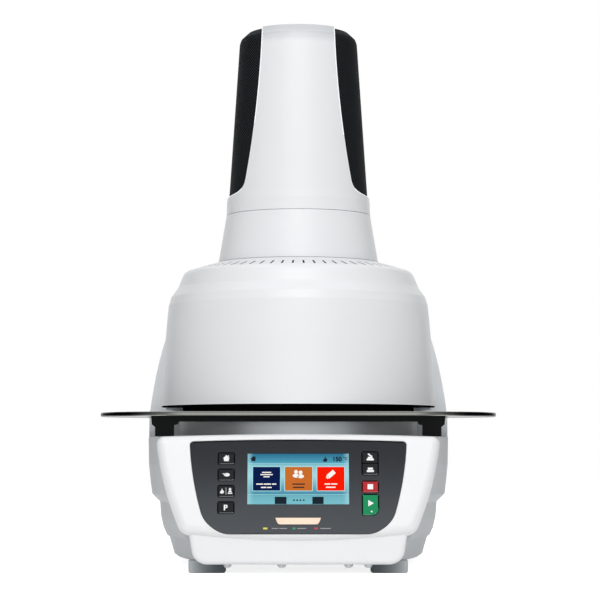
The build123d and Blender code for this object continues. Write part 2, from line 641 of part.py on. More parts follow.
def vacuum_valve():
    """Solenoid valve between the nipple and the head, on the pan's floor."""
    x, z = NIPPLE
    y = PLATE_Y - 16
    body = block(x - 12, x + 12, y - 29, y, z - 9, z + 9) + rod(9, z + 9, z + 28, x, y - 15)
    return body + block(x - 4, x + 4, y - 23, y - 5, FLOOR_Z + WALL, z - 9)


# ---------------------------------------------------------------- hinge
def hinge_bracket(side):
    """Bearing block on the recess floor, one each side of the arm."""
    x0, x1 = (51.0, 60.0) if side > 0 else (-60.0, -51.0)
    floor = RECESS[4]
    points = [(HINGE_Y - 24, floor), (HINGE_Y + 24, floor), (HINGE_Y + 24, floor + 6),
              (HINGE_Y + 14, HINGE_Z), (HINGE_Y - 14, HINGE_Z), (HINGE_Y - 24, floor + 6)]
    web = Pos((x0 + x1) / 2, 0, 0) * side_view(make_face(Polyline(*points, close=True)), (x1 - x0) / 2)
    web += rod_x(14, x0, x1)
    return web - rod_x(PIN_R + RUNNING, x0 - 1, x1 + 1)


HEAD_LINE = [(RIM_R, RIM_Z), (143.9, RIM_Z + 1.5), (139.9, 234), (137.4, 262), (136.4, 271), (133.9, 279.5),
             (129.7, 285.4), (126.8, 289.6), (125.0, 294), (121.6, 302.2), (119.8, 305.0), (117.0, 306.9),
             (86.2, SHOULDER_Z + 0.1)]


def head_radius(z):
    """Radius of the head's wall at a height on its long cone."""
    (r0, z0), (r1, z1) = HEAD_LINE[1], HEAD_LINE[2]
    return r0 + (r1 - r0) * (z - z0) / (z1 - z0)


ARM_X = (38.0, 48.0)     # cheeks of the hinge arm
PAD_Z = (196.0, 232.0)


def hinge_arm():
    """Cast arm: a curved pad on the head's rear wall and two cheeks that carry the pin."""
    (z0, z1), (x0, x1) = PAD_Z, ARM_X
    low_r, high_r = head_radius(z0), head_radius(z1)
    ring = turned((low_r, z0), (low_r + 7, z0), (high_r + 7, z1), (high_r, z1))
    pad = ring & block(-x1, x1, 0, 200, z0, z1)
    front = HEAD_Y + head_radius(z0) - 14
    points = [(front, z0), (HINGE_Y - 26, z0), (HINGE_Y + 6, HINGE_Z - 15), (HINGE_Y + 15, HINGE_Z),
              (HINGE_Y, HINGE_Z + 15), (HINGE_Y - 14, HINGE_Z + 13), (front, z1 - 8)]
    cheek = Pos((x0 + x1) / 2, 0, 0) * side_view(make_face(Polyline(*points, close=True)), (x1 - x0) / 2)
    wall = turned((0, z0 - 1), (head_radius(z0 - 1), z0 - 1), (head_radius(z1 + 1), z1 + 1), (0, z1 + 1))
    cheek = cheek + rod_x(15, x0, x1) - wall - rod_x(PIN_R, x0 - 1, x1 + 1)
    return pad + mirrored(cheek)


PIN_X = (-90.0, 61.0)


def hinge_pin():
    """Shaft through both brackets and the arm, into the lift drive."""
    pin = rod_x(PIN_R, *PIN_X)
    return chamfer(pin.edges().filter_by(GeomType.CIRCLE), length=0.8)


def lift_drive():
    """Gear motor on the recess wall that turns the hinge pin."""
    wall = RECESS[0] - WALL
    gearbox = rod_x(20, wall - 30, wall)
    gearbox += block(wall - 6, wall, HINGE_Y - 20, HINGE_Y + 20, HINGE_Z - 30, HINGE_Z)
    motor = rod_x(15, wall - 58, wall - 30)
    return gearbox + motor - rod_x(PIN_R + RUNNING, PIN_X[0] - 1, wall + 1)


# ---------------------------------------------------------------- head
def head_shell():
    """Turned head cover with a stepped shoulder, a ring of radial vents and the neck's seat."""
    outer = HEAD_LINE + [(85.8, SHOULDER_Z), (78, SHOULDER_Z), (78, SHOULDER_Z - HEAD_WALL)]
    inner = [(r - HEAD_WALL, z - (0 if z < 280 else HEAD_WALL * 0.8)) for r, z in reversed(HEAD_LINE[1:-1])]
    shell = turned(*outer, *inner, (RIM_R - HEAD_WALL - 0.2, RIM_Z))
    shell += turned((137.5, 171.5), (142.0, 171.5), (141.6, 175), (137.5, 175))
    slot = Pos((VENT_R[0] + VENT_R[1]) / 2, 0, 310) * Box(VENT_R[1] - VENT_R[0], VENT_W, 24)
    step = 360 / VENT_COUNT
    return shell - [Pos(0, HEAD_Y, 0) * Rot(0, 0, step * (i + 0.5) - 90) * slot for i in range(VENT_COUNT)]


def neck_cone():
    """Cone between the head and the tower, with a shelf for the press plate."""
    line = [(NECK_R, SHOULDER_Z), (TOWER_FOOT_R, SEAM_Z)]
    shelf = turned((68, 324), (81, 324), (80.6, 327), (68, 327))
    collar = turned((71.0, SEAM_Z - 4), (75.0, SEAM_Z - 4), (74.6, SEAM_Z), (73.9, SEAM_Z),
                    (73.9, SEAM_Z + 0.5), (71.0, SEAM_Z + 0.5))
    return thick_turned(line, HEAD_WALL) + shelf + collar


TOWER_LINE = [(TOWER_FOOT_R, SEAM_Z + 0.5), (75.5, 380), (74.6, 388), (64.4, 542), (63.9, 549), (62.4, 553.5),
              (59.0, 556.8), (55.0, TOWER_TOP)]
COVER_WALL = 1.5
SLEEVE_WALL = 1.5


def inward(line, amount):
    """Turned line moved in by a wall, its flat top moved down."""
    return [(r - amount, min(z, TOWER_TOP - amount)) for r, z in line]


def tower_window():
    """Side window of the cover in front view: upright edge that flares out above the ring."""
    edges = [
        Spline((37.2, TOWER_TOP + 8), (40.5, 506), (48.4, 437), (54.2, 402)),
        Bezier((54.2, 402), (56.0, 391), (60.5, 386.4), (76, 384.6)),
        Line((76, 384.6), (90, 384.6)), Line((90, 384.6), (90, TOWER_TOP + 8)),
        Line((90, TOWER_TOP + 8), (37.2, TOWER_TOP + 8)),
    ]
    return make_face(edges)


def tower_cover():
    """White saddle: ring at the foot, strip up the front, over the top and down the back."""
    inner = inward(TOWER_LINE, COVER_WALL)
    shell = turned(*TOWER_LINE, (0, TOWER_TOP), (0, TOWER_TOP - COVER_WALL), *reversed(inner))
    shell += turned((71.5, SEAM_Z + 0.5), (75.5, SEAM_Z + 0.5), (75.3, SEAM_Z + 2.5), (71.5, SEAM_Z + 2.5))
    window = front_view(tower_window(), HEAD_Y - 100, HEAD_Y + 100)
    return shell - window - mirror(window, about=Plane.YZ)


def tower_sleeve():
    """Black mesh sleeve under the saddle, closed at the top."""
    line = [(75.8, SEAM_Z + 2.5)] + TOWER_LINE[1:]
    outer = inward(line, COVER_WALL + 0.1)
    inner = inward(line, COVER_WALL + 0.1 + SLEEVE_WALL)
    top = TOWER_TOP - COVER_WALL - 0.1
    return turned(*outer, (0, top), (0, top - SLEEVE_WALL), *reversed(inner))


def head_bottom_plate():
    """Black pressed ring that closes the head from below and lands on the seal."""
    low = PLATE_LOW
    return turned((52, low), (120.4, low), (121.4, low + 1), (121.4, 168.5), (140.9, 168.5), (140.9, 171.5),
                  (118.4, 171.5), (118.4, PLATE_IN), (52, PLATE_IN))


def head_insulation():
    """Fibre block round the muffle, bored for the rod and the sensor."""
    crown = CHAMBER_TOP + 12
    body = turned((MUFFLE_R, PLATE_IN), (118, PLATE_IN), (118, 171.5), (128, 171.5), (128, 256), (120, 262),
                  (0, 262), (0, crown), (MUFFLE_R, crown))
    return body - rod(9.0, 200, 270) - rod(3.4, 200, 270, SENSOR_X)


SENSOR_X = 30.0


def firing_muffle():
    """Quartz chamber wall with its top disc."""
    body = turned((CHAMBER_R, PLATE_IN), (MUFFLE_R, PLATE_IN), (MUFFLE_R, CHAMBER_TOP + 12),
                  (0, CHAMBER_TOP + 12), (0, CHAMBER_TOP), (CHAMBER_R, CHAMBER_TOP))
    return body - rod(8.6, 200, 270) - rod(3.2, 200, 270, SENSOR_X)


def heating_coil():
    """Heating strip of square section, wound half sunk in the chamber wall."""
    turns, pitch, strip = 6, 11.0, 2.4
    path = Helix(pitch=pitch, height=pitch * turns, radius=CHAMBER_R - 0.1)
    section = Plane(origin=path @ 0, z_dir=path % 0, x_dir=(1, 0, 0)) * Rectangle(strip, strip)
    return Pos(0, HEAD_Y, SEAL_TOP + 9) * sweep(section, path=path, is_frenet=True)


def thermocouple():
    """Ceramic sensor tube with its connection head."""
    return rod(2.5, 228, 262, SENSOR_X) + rod(8, 262, 274, SENSOR_X) + rod(5, 274, 280, SENSOR_X)


# ---------------------------------------------------------------- press drive
ROD_X = 44.0
GUIDE_R = 5.0
PLATE_Z = (327.0, 333.0)
MOTOR_PLATE_Z = (440.0, 447.0)
MOTOR_TOP = 512.0
SCREW_R = 6.0


def press_plate():
    """Lower plate of the press frame, on the neck's shelf."""
    body = rod(76, *PLATE_Z) - rod(10, 320, 340)
    for angle in range(30, 360, 60):
        x, y = 58 * math.cos(math.radians(angle)), 58 * math.sin(math.radians(angle))
        body -= rod(9, 320, 340, x, HEAD_Y + y)
    return body


def guide_rods():
    """Two rods between the plates."""
    return mirrored(rod(GUIDE_R, PLATE_Z[1], MOTOR_PLATE_Z[0], ROD_X))


def motor_plate():
    """Upper plate, cut back at its sides."""
    plate = rod(60, *MOTOR_PLATE_Z) - block(-80, 80, HEAD_Y + 38, HEAD_Y + 90, 430, 460)
    plate -= block(-80, 80, HEAD_Y - 90, HEAD_Y - 38, 430, 460)
    return plate - rod(SCREW_R + 2, 430, 460)


def press_motor():
    """Linear stepper: square stack with chamfered corners, bored for the screw."""
    z0 = MOTOR_PLATE_Z[1]
    stack = Pos(0, HEAD_Y, (z0 + MOTOR_TOP) / 2) * Box(57, 57, MOTOR_TOP - z0)
    stack = chamfer(stack.edges().filter_by(Axis.Z), length=5.0)
    for z in (z0 + 10, MOTOR_TOP - 12):
        stack -= Pos(0, HEAD_Y, z) * (Box(60, 60, 1.6) - Box(55, 55, 1.6))
    return stack - rod(SCREW_R + RUNNING, z0 - 1, MOTOR_TOP + 1)


CROSSHEAD_Z = (386.0, 398.0)


def press_crosshead():
    """Crosshead that runs on the guide rods with two flanged bushes."""
    body = block(-56, 56, HEAD_Y - 14, HEAD_Y + 14, *CROSSHEAD_Z)
    body = fillet(body.edges().filter_by(Axis.Z), radius=10.0)
    bushes = mirrored(rod(9, CROSSHEAD_Z[0] - 5, CROSSHEAD_Z[1] + 5, ROD_X))
    body += bushes
    return body - mirrored(rod(GUIDE_R + RUNNING, 370, 410, ROD_X)) - rod(SCREW_R, CROSSHEAD_Z[0] + 6, 400)


def press_screw():
    """Screw of the linear drive, fixed in the crosshead, with a reduced end."""
    return rod(SCREW_R, CROSSHEAD_Z[0] + 6, 532) + rod(SCREW_R - 1, 532, 538)


def press_rod():
    """Steel rod from the crosshead to the ceramic plunger."""
    return rod(7.0, 290, CROSSHEAD_Z[0]) + rod(9.0, 314, 320)


def press_plunger():
    """Ceramic plunger with a chamfered tip."""
    body = rod(6.3, PLUNGER_TIP, 290)
    return chamfer(body.edges().sort_by(Axis.Z)[0], length=1.0)


# ---------------------------------------------------------------- write the nodes
NODES = {
    "bottom_pan": bottom_pan, "rear_housing": rear_housing, "front_fascia": front_fascia,
    "control_panel": control_panel, "display_screen": display_screen, "display_module": display_module,
    "key_board": key_board, "status_light_lens": status_light_lens, "firing_base": firing_base,
    "base_insulation": base_insulation, "seal_plate": seal_plate, "seal_ring": seal_ring,
    "firing_table": firing_table, "tray_holder": tray_holder, "holder_screws": holder_screws,
    "cooling_tray": cooling_tray, "rubber_feet": rubber_feet, "pan_screws": pan_screws,
    "mains_transformer": mains_transformer, "power_board": power_board, "rear_panel": rear_panel,
    "mains_inlet": mains_inlet, "pump_outlet": pump_outlet, "fuse_holders": fuse_holders,
    "switch_frame": switch_frame, "switch_rocker": switch_rocker, "usb_port": usb_port,
    "vacuum_nipple": vacuum_nipple, "vacuum_valve": vacuum_valve, "hinge_arm": hinge_arm,
    "hinge_pin": hinge_pin, "lift_drive": lift_drive, "head_shell": head_shell, "neck_cone": neck_cone,
    "tower_cover": tower_cover, "tower_sleeve": tower_sleeve, "head_bottom_plate": head_bottom_plate,
    "head_insulation": head_insulation, "firing_muffle": firing_muffle, "heating_coil": heating_coil,
    "thermocouple": thermocouple, "press_plate": press_plate, "guide_rods": guide_rods,
    "motor_plate": motor_plate, "press_motor": press_motor, "press_crosshead": press_crosshead,
    "press_screw": press_screw, "press_rod": press_rod, "press_plunger": press_plunger,
}

for name, make in NODES.items():
    save(make(), name)
for side, suffix in ((-1, "left"), (1, "right")):
    save(hinge_bracket(side), f"hinge_bracket_{suffix}")
for place in key_places():
    save(key(*place), place[0])
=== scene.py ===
"""Looks of a dental laboratory press furnace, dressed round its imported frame.

Lengths are given in millimetres by name and turned to metres by MM. The panel's own coordinates are u to
the right, v up the panel and w out of it, from the foot of the panel.
"""

import logging
import math
from dataclasses import dataclass, field
from enum import Enum

import bmesh
import bpy
from mathutils import Matrix, Vector


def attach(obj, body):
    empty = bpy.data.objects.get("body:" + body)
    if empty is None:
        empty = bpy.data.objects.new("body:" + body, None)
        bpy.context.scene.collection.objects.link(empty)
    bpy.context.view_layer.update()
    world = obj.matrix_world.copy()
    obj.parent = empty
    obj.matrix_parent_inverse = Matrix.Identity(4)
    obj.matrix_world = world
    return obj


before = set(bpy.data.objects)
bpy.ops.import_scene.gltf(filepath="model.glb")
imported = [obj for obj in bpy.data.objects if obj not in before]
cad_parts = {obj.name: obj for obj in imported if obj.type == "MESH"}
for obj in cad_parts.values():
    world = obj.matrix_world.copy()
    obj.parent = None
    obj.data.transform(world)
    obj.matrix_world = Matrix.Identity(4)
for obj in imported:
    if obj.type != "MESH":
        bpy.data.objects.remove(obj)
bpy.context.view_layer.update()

MM = 0.001
HEAD_Y = -20.0 * MM  # upright axis of the head and the tower
WHITE = (1.0, 1.0, 1.0, 1.0)
SMOOTHEST = 0.02  # no real surface of the furnace is smoother
PANEL_FOOT = Vector((0.0, -212.0, 38.4)) * MM
PANEL_LEAN = math.radians(17.0)
PANEL_UP = Vector((0, math.sin(PANEL_LEAN), math.cos(PANEL_LEAN)))
PANEL_OUT = Vector((0, -math.cos(PANEL_LEAN), math.sin(PANEL_LEAN)))
Tree, Socket = bpy.types.NodeTree, bpy.types.NodeSocket
Pair, Triple, Rgba = tuple[float, float], tuple[float, float, float], tuple[float, float, float, float]
TURN_STEPS = 128  # segments of a turned piece
FILM_MM, TILE_MM = 0.05, 0.06  # thickness of lines drawn on a surface, and of tiles and marks
log = logging.getLogger("furnace")


# ---- colours and nodes
def linear(code: str) -> Rgba:
    """Turn an sRGB hex value into linear RGBA.

    Args:
        code: Six hex digits, with or without a leading #.

    Returns:
        Linear red, green, blue and an alpha of 1.
    """
    parts = [int(code.lstrip("#")[i:i + 2], 16) / 255 for i in (0, 2, 4)]
    return (*(c / 12.92 if c <= 0.04045 else ((c + 0.055) / 1.055) ** 2.4 for c in parts), 1.0)


def shade(colour: Rgba, share: float) -> Rgba:
    """Scale a linear colour.

    Args:
        colour: Linear RGBA.
        share: Factor for its red, green and blue.

    Returns:
        The scaled colour with an alpha of 1.
    """
    return (*(min(1.0, c * share) for c in colour[:3]), 1.0)


def scale_for(size_mm: float) -> float:
    """Return the texture scale at which one feature spans size_mm."""
    return 1.0 / (size_mm * MM)


def add(tree: Tree, kind: str, inputs: dict | None = None, **settings: object) -> bpy.types.Node:
    """Add one node with its settings, values and links.

    Args:
        tree: Node tree that gets the node.
        kind: Blender's node type.
        inputs: Socket name or index to a constant or to the output socket that feeds it.
        **settings: Node properties.

    Returns:
        The new node.
    """
    node = tree.nodes.new(kind)
    for name, value in settings.items():
        setattr(node, name, value)
    for socket, source in (inputs or {}).items():
        if isinstance(source, Socket):
            tree.links.new(source, node.inputs[socket])
        else:
            node.inputs[socket].default_value = source
    return node


# ---- finishes
@dataclass(frozen=True)
class Finish:
    """A surface: what it is made of, how it was made and what that gives the eye."""

    name: str
    colour: str
    roughness: float
    metallic: float = 0.0
    coat: float = 0.0
    sheen: float = 0.0
    mottle: float = 0.03  # share by which the colour wanders
    mottle_mm: float = 40.0
    grain_mm: float = 1.2
    grain_depth_mm: float = 0.02
    roughness_swing: float = 0.05
    glow: float = 0.0
    specular: float = 0.5  # 0.5 is a plain varnish or plastic; matt dark surfaces have less
    far_colour: str = ""  # colour beyond far_mm on the axis; the own one lies before near_mm
    axis: str = "Z"
    near_mm: float = 0.0
    far_mm: float = 1.0

    def material(self) -> bpy.types.Material:
        """Build the material.

        Returns:
            A node material with the finish's colour, roughness and bump.
        """
        made = bpy.data.materials.new(self.name)
        made.use_nodes = True
        tree = made.node_tree
        tree.nodes.clear()
        place = add(tree, "ShaderNodeTexCoord").outputs["Object"]
        colour = self.graded(tree, place, self.paint(tree, place))
        bump = add(tree, "ShaderNodeBump", {"Strength": 1.0, "Distance": self.grain_depth_mm * MM,
                                            "Height": self.relief(tree, place)})
        inputs = {"Base Color": colour, "Roughness": self.gloss(tree, place), "Metallic": self.metallic,
                  "Specular IOR Level": self.specular, "Coat Weight": self.coat, "Sheen Weight": self.sheen,
                  "Normal": bump.outputs["Normal"]}
        if self.glow:
            inputs |= {"Emission Color": colour, "Emission Strength": self.glow}
        shader = add(tree, "ShaderNodeBsdfPrincipled", inputs)
        add(tree, "ShaderNodeOutputMaterial", {"Surface": shader.outputs["BSDF"]})
        return made

    def along(self, tree: Tree, place: Socket, axis: str, near_mm: float, far_mm: float) -> Socket:
        """Measure how far a point lies from the middle along an axis.

        Args:
            tree: Node tree of the material.
            place: Object coordinates.
            axis: X, Y or Z.
            near_mm: Distance up to which the answer is 0.
            far_mm: Distance from which it is 1.

        Returns:
            A field from 0 to 1.
        """
        axes = add(tree, "ShaderNodeSeparateXYZ", {"Vector": place})
        reach = add(tree, "ShaderNodeMath", {0: axes.outputs[axis]}, operation="ABSOLUTE")
        span = {"Value": reach.outputs[0], "From Min": near_mm * MM, "From Max": far_mm * MM}
        return add(tree, "ShaderNodeMapRange", span, interpolation_type="SMOOTHSTEP").outputs["Result"]

    def graded(self, tree: Tree, place: Socket, colour: Socket) -> Socket:
        """Turn a colour into far_colour along the finish's axis, when it has one.

        Args:
            tree: Node tree of the material.
            place: Object coordinates.
            colour: The finish's own colour.

        Returns:
            The graded colour.
        """
        if not self.far_colour:
            return colour
        share = self.along(tree, place, self.axis, self.near_mm, self.far_mm)
        tones = {0: share, 6: colour, 7: linear(self.far_colour)}
        return add(tree, "ShaderNodeMix", tones, data_type="RGBA").outputs[2]

    def wander(self, tree: Tree, drift: Socket, swing: float) -> Socket:
        """Let the finish's colour wander.

        Args:
            tree: Node tree of the material.
            drift: Where the colour is darker, at 0, and lighter, at 1.
            swing: Share by which it goes either way.

        Returns:
            The colour.
        """
        base = linear(self.colour)
        tones = {0: drift, 6: shade(base, 1 - swing), 7: shade(base, 1 + swing)}
        return add(tree, "ShaderNodeMix", tones, data_type="RGBA").outputs[2]

    def paint(self, tree: Tree, place: Socket) -> Socket:
        """Return the colour, which wanders slowly about the finish's own."""
        lumps = {"Vector": place, "Scale": scale_for(self.mottle_mm), "Detail": 2.0}
        return self.wander(tree, add(tree, "ShaderNodeTexNoise", lumps).outputs["Fac"], self.mottle)

    def worn(self, tree: Tree, wear: Socket) -> Socket:
        """Return the roughness, smoother where wear is 0 and rougher where it is 1."""
        span = {"Value": wear, "To Min": max(SMOOTHEST, self.roughness - self.roughness_swing),
                "To Max": self.roughness + self.roughness_swing}
        return add(tree, "ShaderNodeMapRange", span).outputs["Result"]

    def gloss(self, tree: Tree, place: Socket) -> Socket:
        """Return the roughness, which varies a little with handling."""
        smears = {"Vector": place, "Scale": scale_for(self.mottle_mm * 0.6), "Detail": 4.0}
        return self.worn(tree, add(tree, "ShaderNodeTexNoise", smears).outputs["Fac"])

    def grain(self, tree: Tree, place: Socket) -> Socket:
        """Return the field of the surface's grain."""
        lumps = {"Vector": place, "Scale": scale_for(self.grain_mm), "Detail": 3.0}
        return add(tree, "ShaderNodeTexNoise", lumps).outputs["Fac"]

    def relief(self, tree: Tree, place: Socket) -> Socket:
        """Return the surface's height: its grain."""
        return self.grain(tree, place)


@dataclass(frozen=True)
class Brushed(Finish):
    """Ground sheet steel: fine parallel scratches that run along X."""

    scratch_mm: float = 0.5
    scratch_length_mm: float = 90.0

    def scratches(self, tree: Tree, place: Socket) -> Socket:
        """Draw noise out along X.

        Args:
            tree: Node tree of the material.
            place: Object coordinates.

        Returns:
            The field of the scratches.
        """
        across = scale_for(self.scratch_mm)
        drawn = add(tree, "ShaderNodeMapping", {
            "Vector": place, "Scale": (scale_for(self.scratch_length_mm), across, across)})
        lines = {"Vector": drawn.outputs["Vector"], "Scale": 1.0, "Detail": 3.0}
        return add(tree, "ShaderNodeTexNoise", lines).outputs["Fac"]

    def gloss(self, tree: Tree, place: Socket) -> Socket:
        """Return a roughness that follows the scratches."""
        return self.worn(tree, self.scratches(tree, place))

    def relief(self, tree: Tree, place: Socket) -> Socket:
        """Return the scratches as height."""
        return self.scratches(tree, place)


@dataclass(frozen=True)
class SleeveMesh(Finish):
    """Black expanded-metal mesh: rows of fine strands that slant down and outwards round the tower.

    The real strands are about 1.4 mm apart, and are drawn coarser so that they show.
    """

    pitch_mm: float = 2.7
    slant_deg: float = 33.0
    tower_mm: float = 70.0  # the tower's radius, which the strands go round
    crossing: float = 0.35  # strength of the strands that run the other way
    # near-black of the gaps: painted shade of the hollow behind the strands
    hollow_shade_colour: str = "#040405"

    def strands(self, tree: Tree, place: Socket) -> Socket:
        """Lay slanting waves round the tower and across each other.

        Args:
            tree: Node tree of the material.
            place: Object coordinates.

        Returns:
            A field that is 0 in the gaps and 1 on the strands.
        """
        axes = add(tree, "ShaderNodeSeparateXYZ", {"Vector": place})
        toward = add(tree, "ShaderNodeMath", {0: HEAD_Y, 1: axes.outputs["Y"]}, operation="SUBTRACT")
        turn = add(tree, "ShaderNodeMath", {0: axes.outputs["X"], 1: toward.outputs[0]}, operation="ARCTAN2")
        round_way = add(tree, "ShaderNodeMath", {0: turn.outputs[0]}, operation="ABSOLUTE")
        slope = math.radians(self.slant_deg)
        per_rise = math.cos(slope) * 2 * math.pi / (self.pitch_mm * MM)
        waves = []
        for sign in (1, -1):
            per_turn = sign * math.sin(slope) * self.tower_mm * 2 * math.pi / self.pitch_mm
            rise = add(tree, "ShaderNodeMath", {0: axes.outputs["Z"], 1: per_rise}, operation="MULTIPLY")
            phase = add(tree, "ShaderNodeMath", {0: round_way.outputs[0], 1: per_turn, 2: rise.outputs[0]},
                        operation="MULTIPLY_ADD")
            waves.append(add(tree, "ShaderNodeMath", {0: phase.outputs[0]}, operation="SINE").outputs[0])
        both = add(tree, "ShaderNodeMath", {0: waves[1], 1: self.crossing, 2: waves[0]},
                   operation="MULTIPLY_ADD")
        steps = {"Value": both.outputs[0], "From Min": -0.5, "From Max": 1.1}
        return add(tree, "ShaderNodeMapRange", steps).outputs["Result"]

    def paint(self, tree: Tree, place: Socket) -> Socket:
        """Return dark strands over gaps painted near-black as the shade of the hollow behind the mesh."""
        tones = {0: self.strands(tree, place), 6: linear(self.hollow_shade_colour), 7: linear(self.colour)}
        return add(tree, "ShaderNodeMix", tones, data_type="RGBA").outputs[2]

    def relief(self, tree: Tree, place: Socket) -> Socket:
        """Return the strands as height."""
        return self.strands(tree, place)


@dataclass(frozen=True)
class Speckled(Finish):
    """Printed or fibrous surface: fine grains of two close tones."""

    speckle: float = 0.18

    def paint(self, tree: Tree, place: Socket) -> Socket:
        """Return the colour broken up by the grain."""
        return self.wander(tree, self.grain(tree, place), self.speckle)


@dataclass(frozen=True)
class TrayMetal(Brushed):
    """Ground tray with a dark reflection painted along its rim and, on its edge and underside, towards its
    two ends.
    """

    # colour of the dark reflection painted on the rim and the ends
    reflection_dark_colour: str = "#14181c"
    bright_half_mm: float = 137.0  # reach of the bright middle to each side
    dark_half_mm: float = 171.25  # from here on the ends are fully painted dark, as painted reflection
    rim_mm: float = 156.7  # height from which the upright edge is painted dark all along, as painted reflection
    rim_fade_mm: float = 0.3

    def paint(self, tree: Tree, place: Socket) -> Socket:
        """Paint a dark reflection on the metal at the rim and, but for its top face, beyond the bright
        middle.

        Args:
            tree: Node tree of the material.
            place: Object coordinates.

        Returns:
            The colour.
        """
        ends = self.along(tree, place, "X", self.bright_half_mm, self.dark_half_mm)
        rim = self.along(tree, place, "Z", self.rim_mm - self.rim_fade_mm, self.rim_mm)
        dark = add(tree, "ShaderNodeMath", {0: ends, 1: rim}, operation="MAXIMUM")
        normal = add(tree, "ShaderNodeNewGeometry").outputs["Normal"]
        facing = add(tree, "ShaderNodeSeparateXYZ", {"Vector": normal})
        not_top = add(tree, "ShaderNodeMapRange", {
            "Value": facing.outputs["Z"], "To Min": 1.0, "To Max": 0.0})
        darkened = add(tree, "ShaderNodeMath", {0: dark.outputs[0], 1: not_top.outputs["Result"]},
                    operation="MULTIPLY")
        tones = {0: darkened.outputs[0], 6: super().paint(tree, place), 7: linear(self.reflection_dark_colour)}
        return add(tree, "ShaderNodeMix", tones, data_type="RGBA").outputs[2]


@dataclass(frozen=True)
class ScreenPicture(Finish):
    """Lit colour display behind glass: two bars and a bright field between them."""

    low_mm: float = 30.3  # the picture's foot and head, up the panel from the panel's foot
    high_mm: float = 81.5
    half_mm: float = 49.4  # half of its width
    edge_glow: float = 0.55  # how much of the edge's colour shows at the picture's sides
    bands: tuple[tuple[float, str], ...] = (
        (0.00, "#79bec9"), (0.175, "#6aaebb"), (0.19, "#4a8ba3"), (0.32, "#60a3b7"), (0.56, "#a2d4da"),
        (0.78, "#86c0c9"), (0.80, "#54a0b5"), (0.86, "#4592ad"), (1.00, "#276c8b"))
    edge_colour: str = "#a8d9df"

    def paint(self, tree: Tree, place: Socket) -> Socket:
        """Stack the picture's bands, brighter towards the left and right edges.

        Args:
            tree: Node tree of the material.
            place: Object coordinates.

        Returns:
            The colour.
        """
        climb = add(tree, "ShaderNodeVectorMath", {0: place, 1: PANEL_UP}, operation="DOT_PRODUCT")
        start = PANEL_FOOT.dot(PANEL_UP)
        share = add(tree, "ShaderNodeMapRange", {
            "Value": climb.outputs["Value"], "From Min": start + self.low_mm * MM,
            "From Max": start + self.high_mm * MM})
        ramp = add(tree, "ShaderNodeValToRGB", {"Fac": share.outputs["Result"]})
        stops = ramp.color_ramp.elements
        while len(stops) < len(self.bands):
            stops.new(0.5)
        for stop, (position, code) in zip(stops, self.bands):
            stop.position = position
            stop.color = linear(code)
        edge = self.along(tree, place, "X", 0.86 * self.half_mm, self.half_mm)
        part = add(tree, "ShaderNodeMath", {0: edge, 1: self.edge_glow}, operation="MULTIPLY")
        tones = {0: part.outputs[0], 6: ramp.outputs["Color"], 7: linear(self.edge_colour)}
        return add(tree, "ShaderNodeMix", tones, data_type="RGBA").outputs[2]


@dataclass(frozen=True)
class Pixels(Finish):
    """Lit pixels behind the glass: flat colours with no gloss of their own."""

    roughness: float = 0.35
    mottle: float = 0.05
    mottle_mm: float = 14.0
    grain_depth_mm: float = 0.001
    specular: float = 0.0


@dataclass(frozen=True)
class Ink(Finish):
    """Printed ink: thin, opaque and matt."""

    roughness: float = 0.5
    mottle: float = 0.05
    mottle_mm: float = 2.0


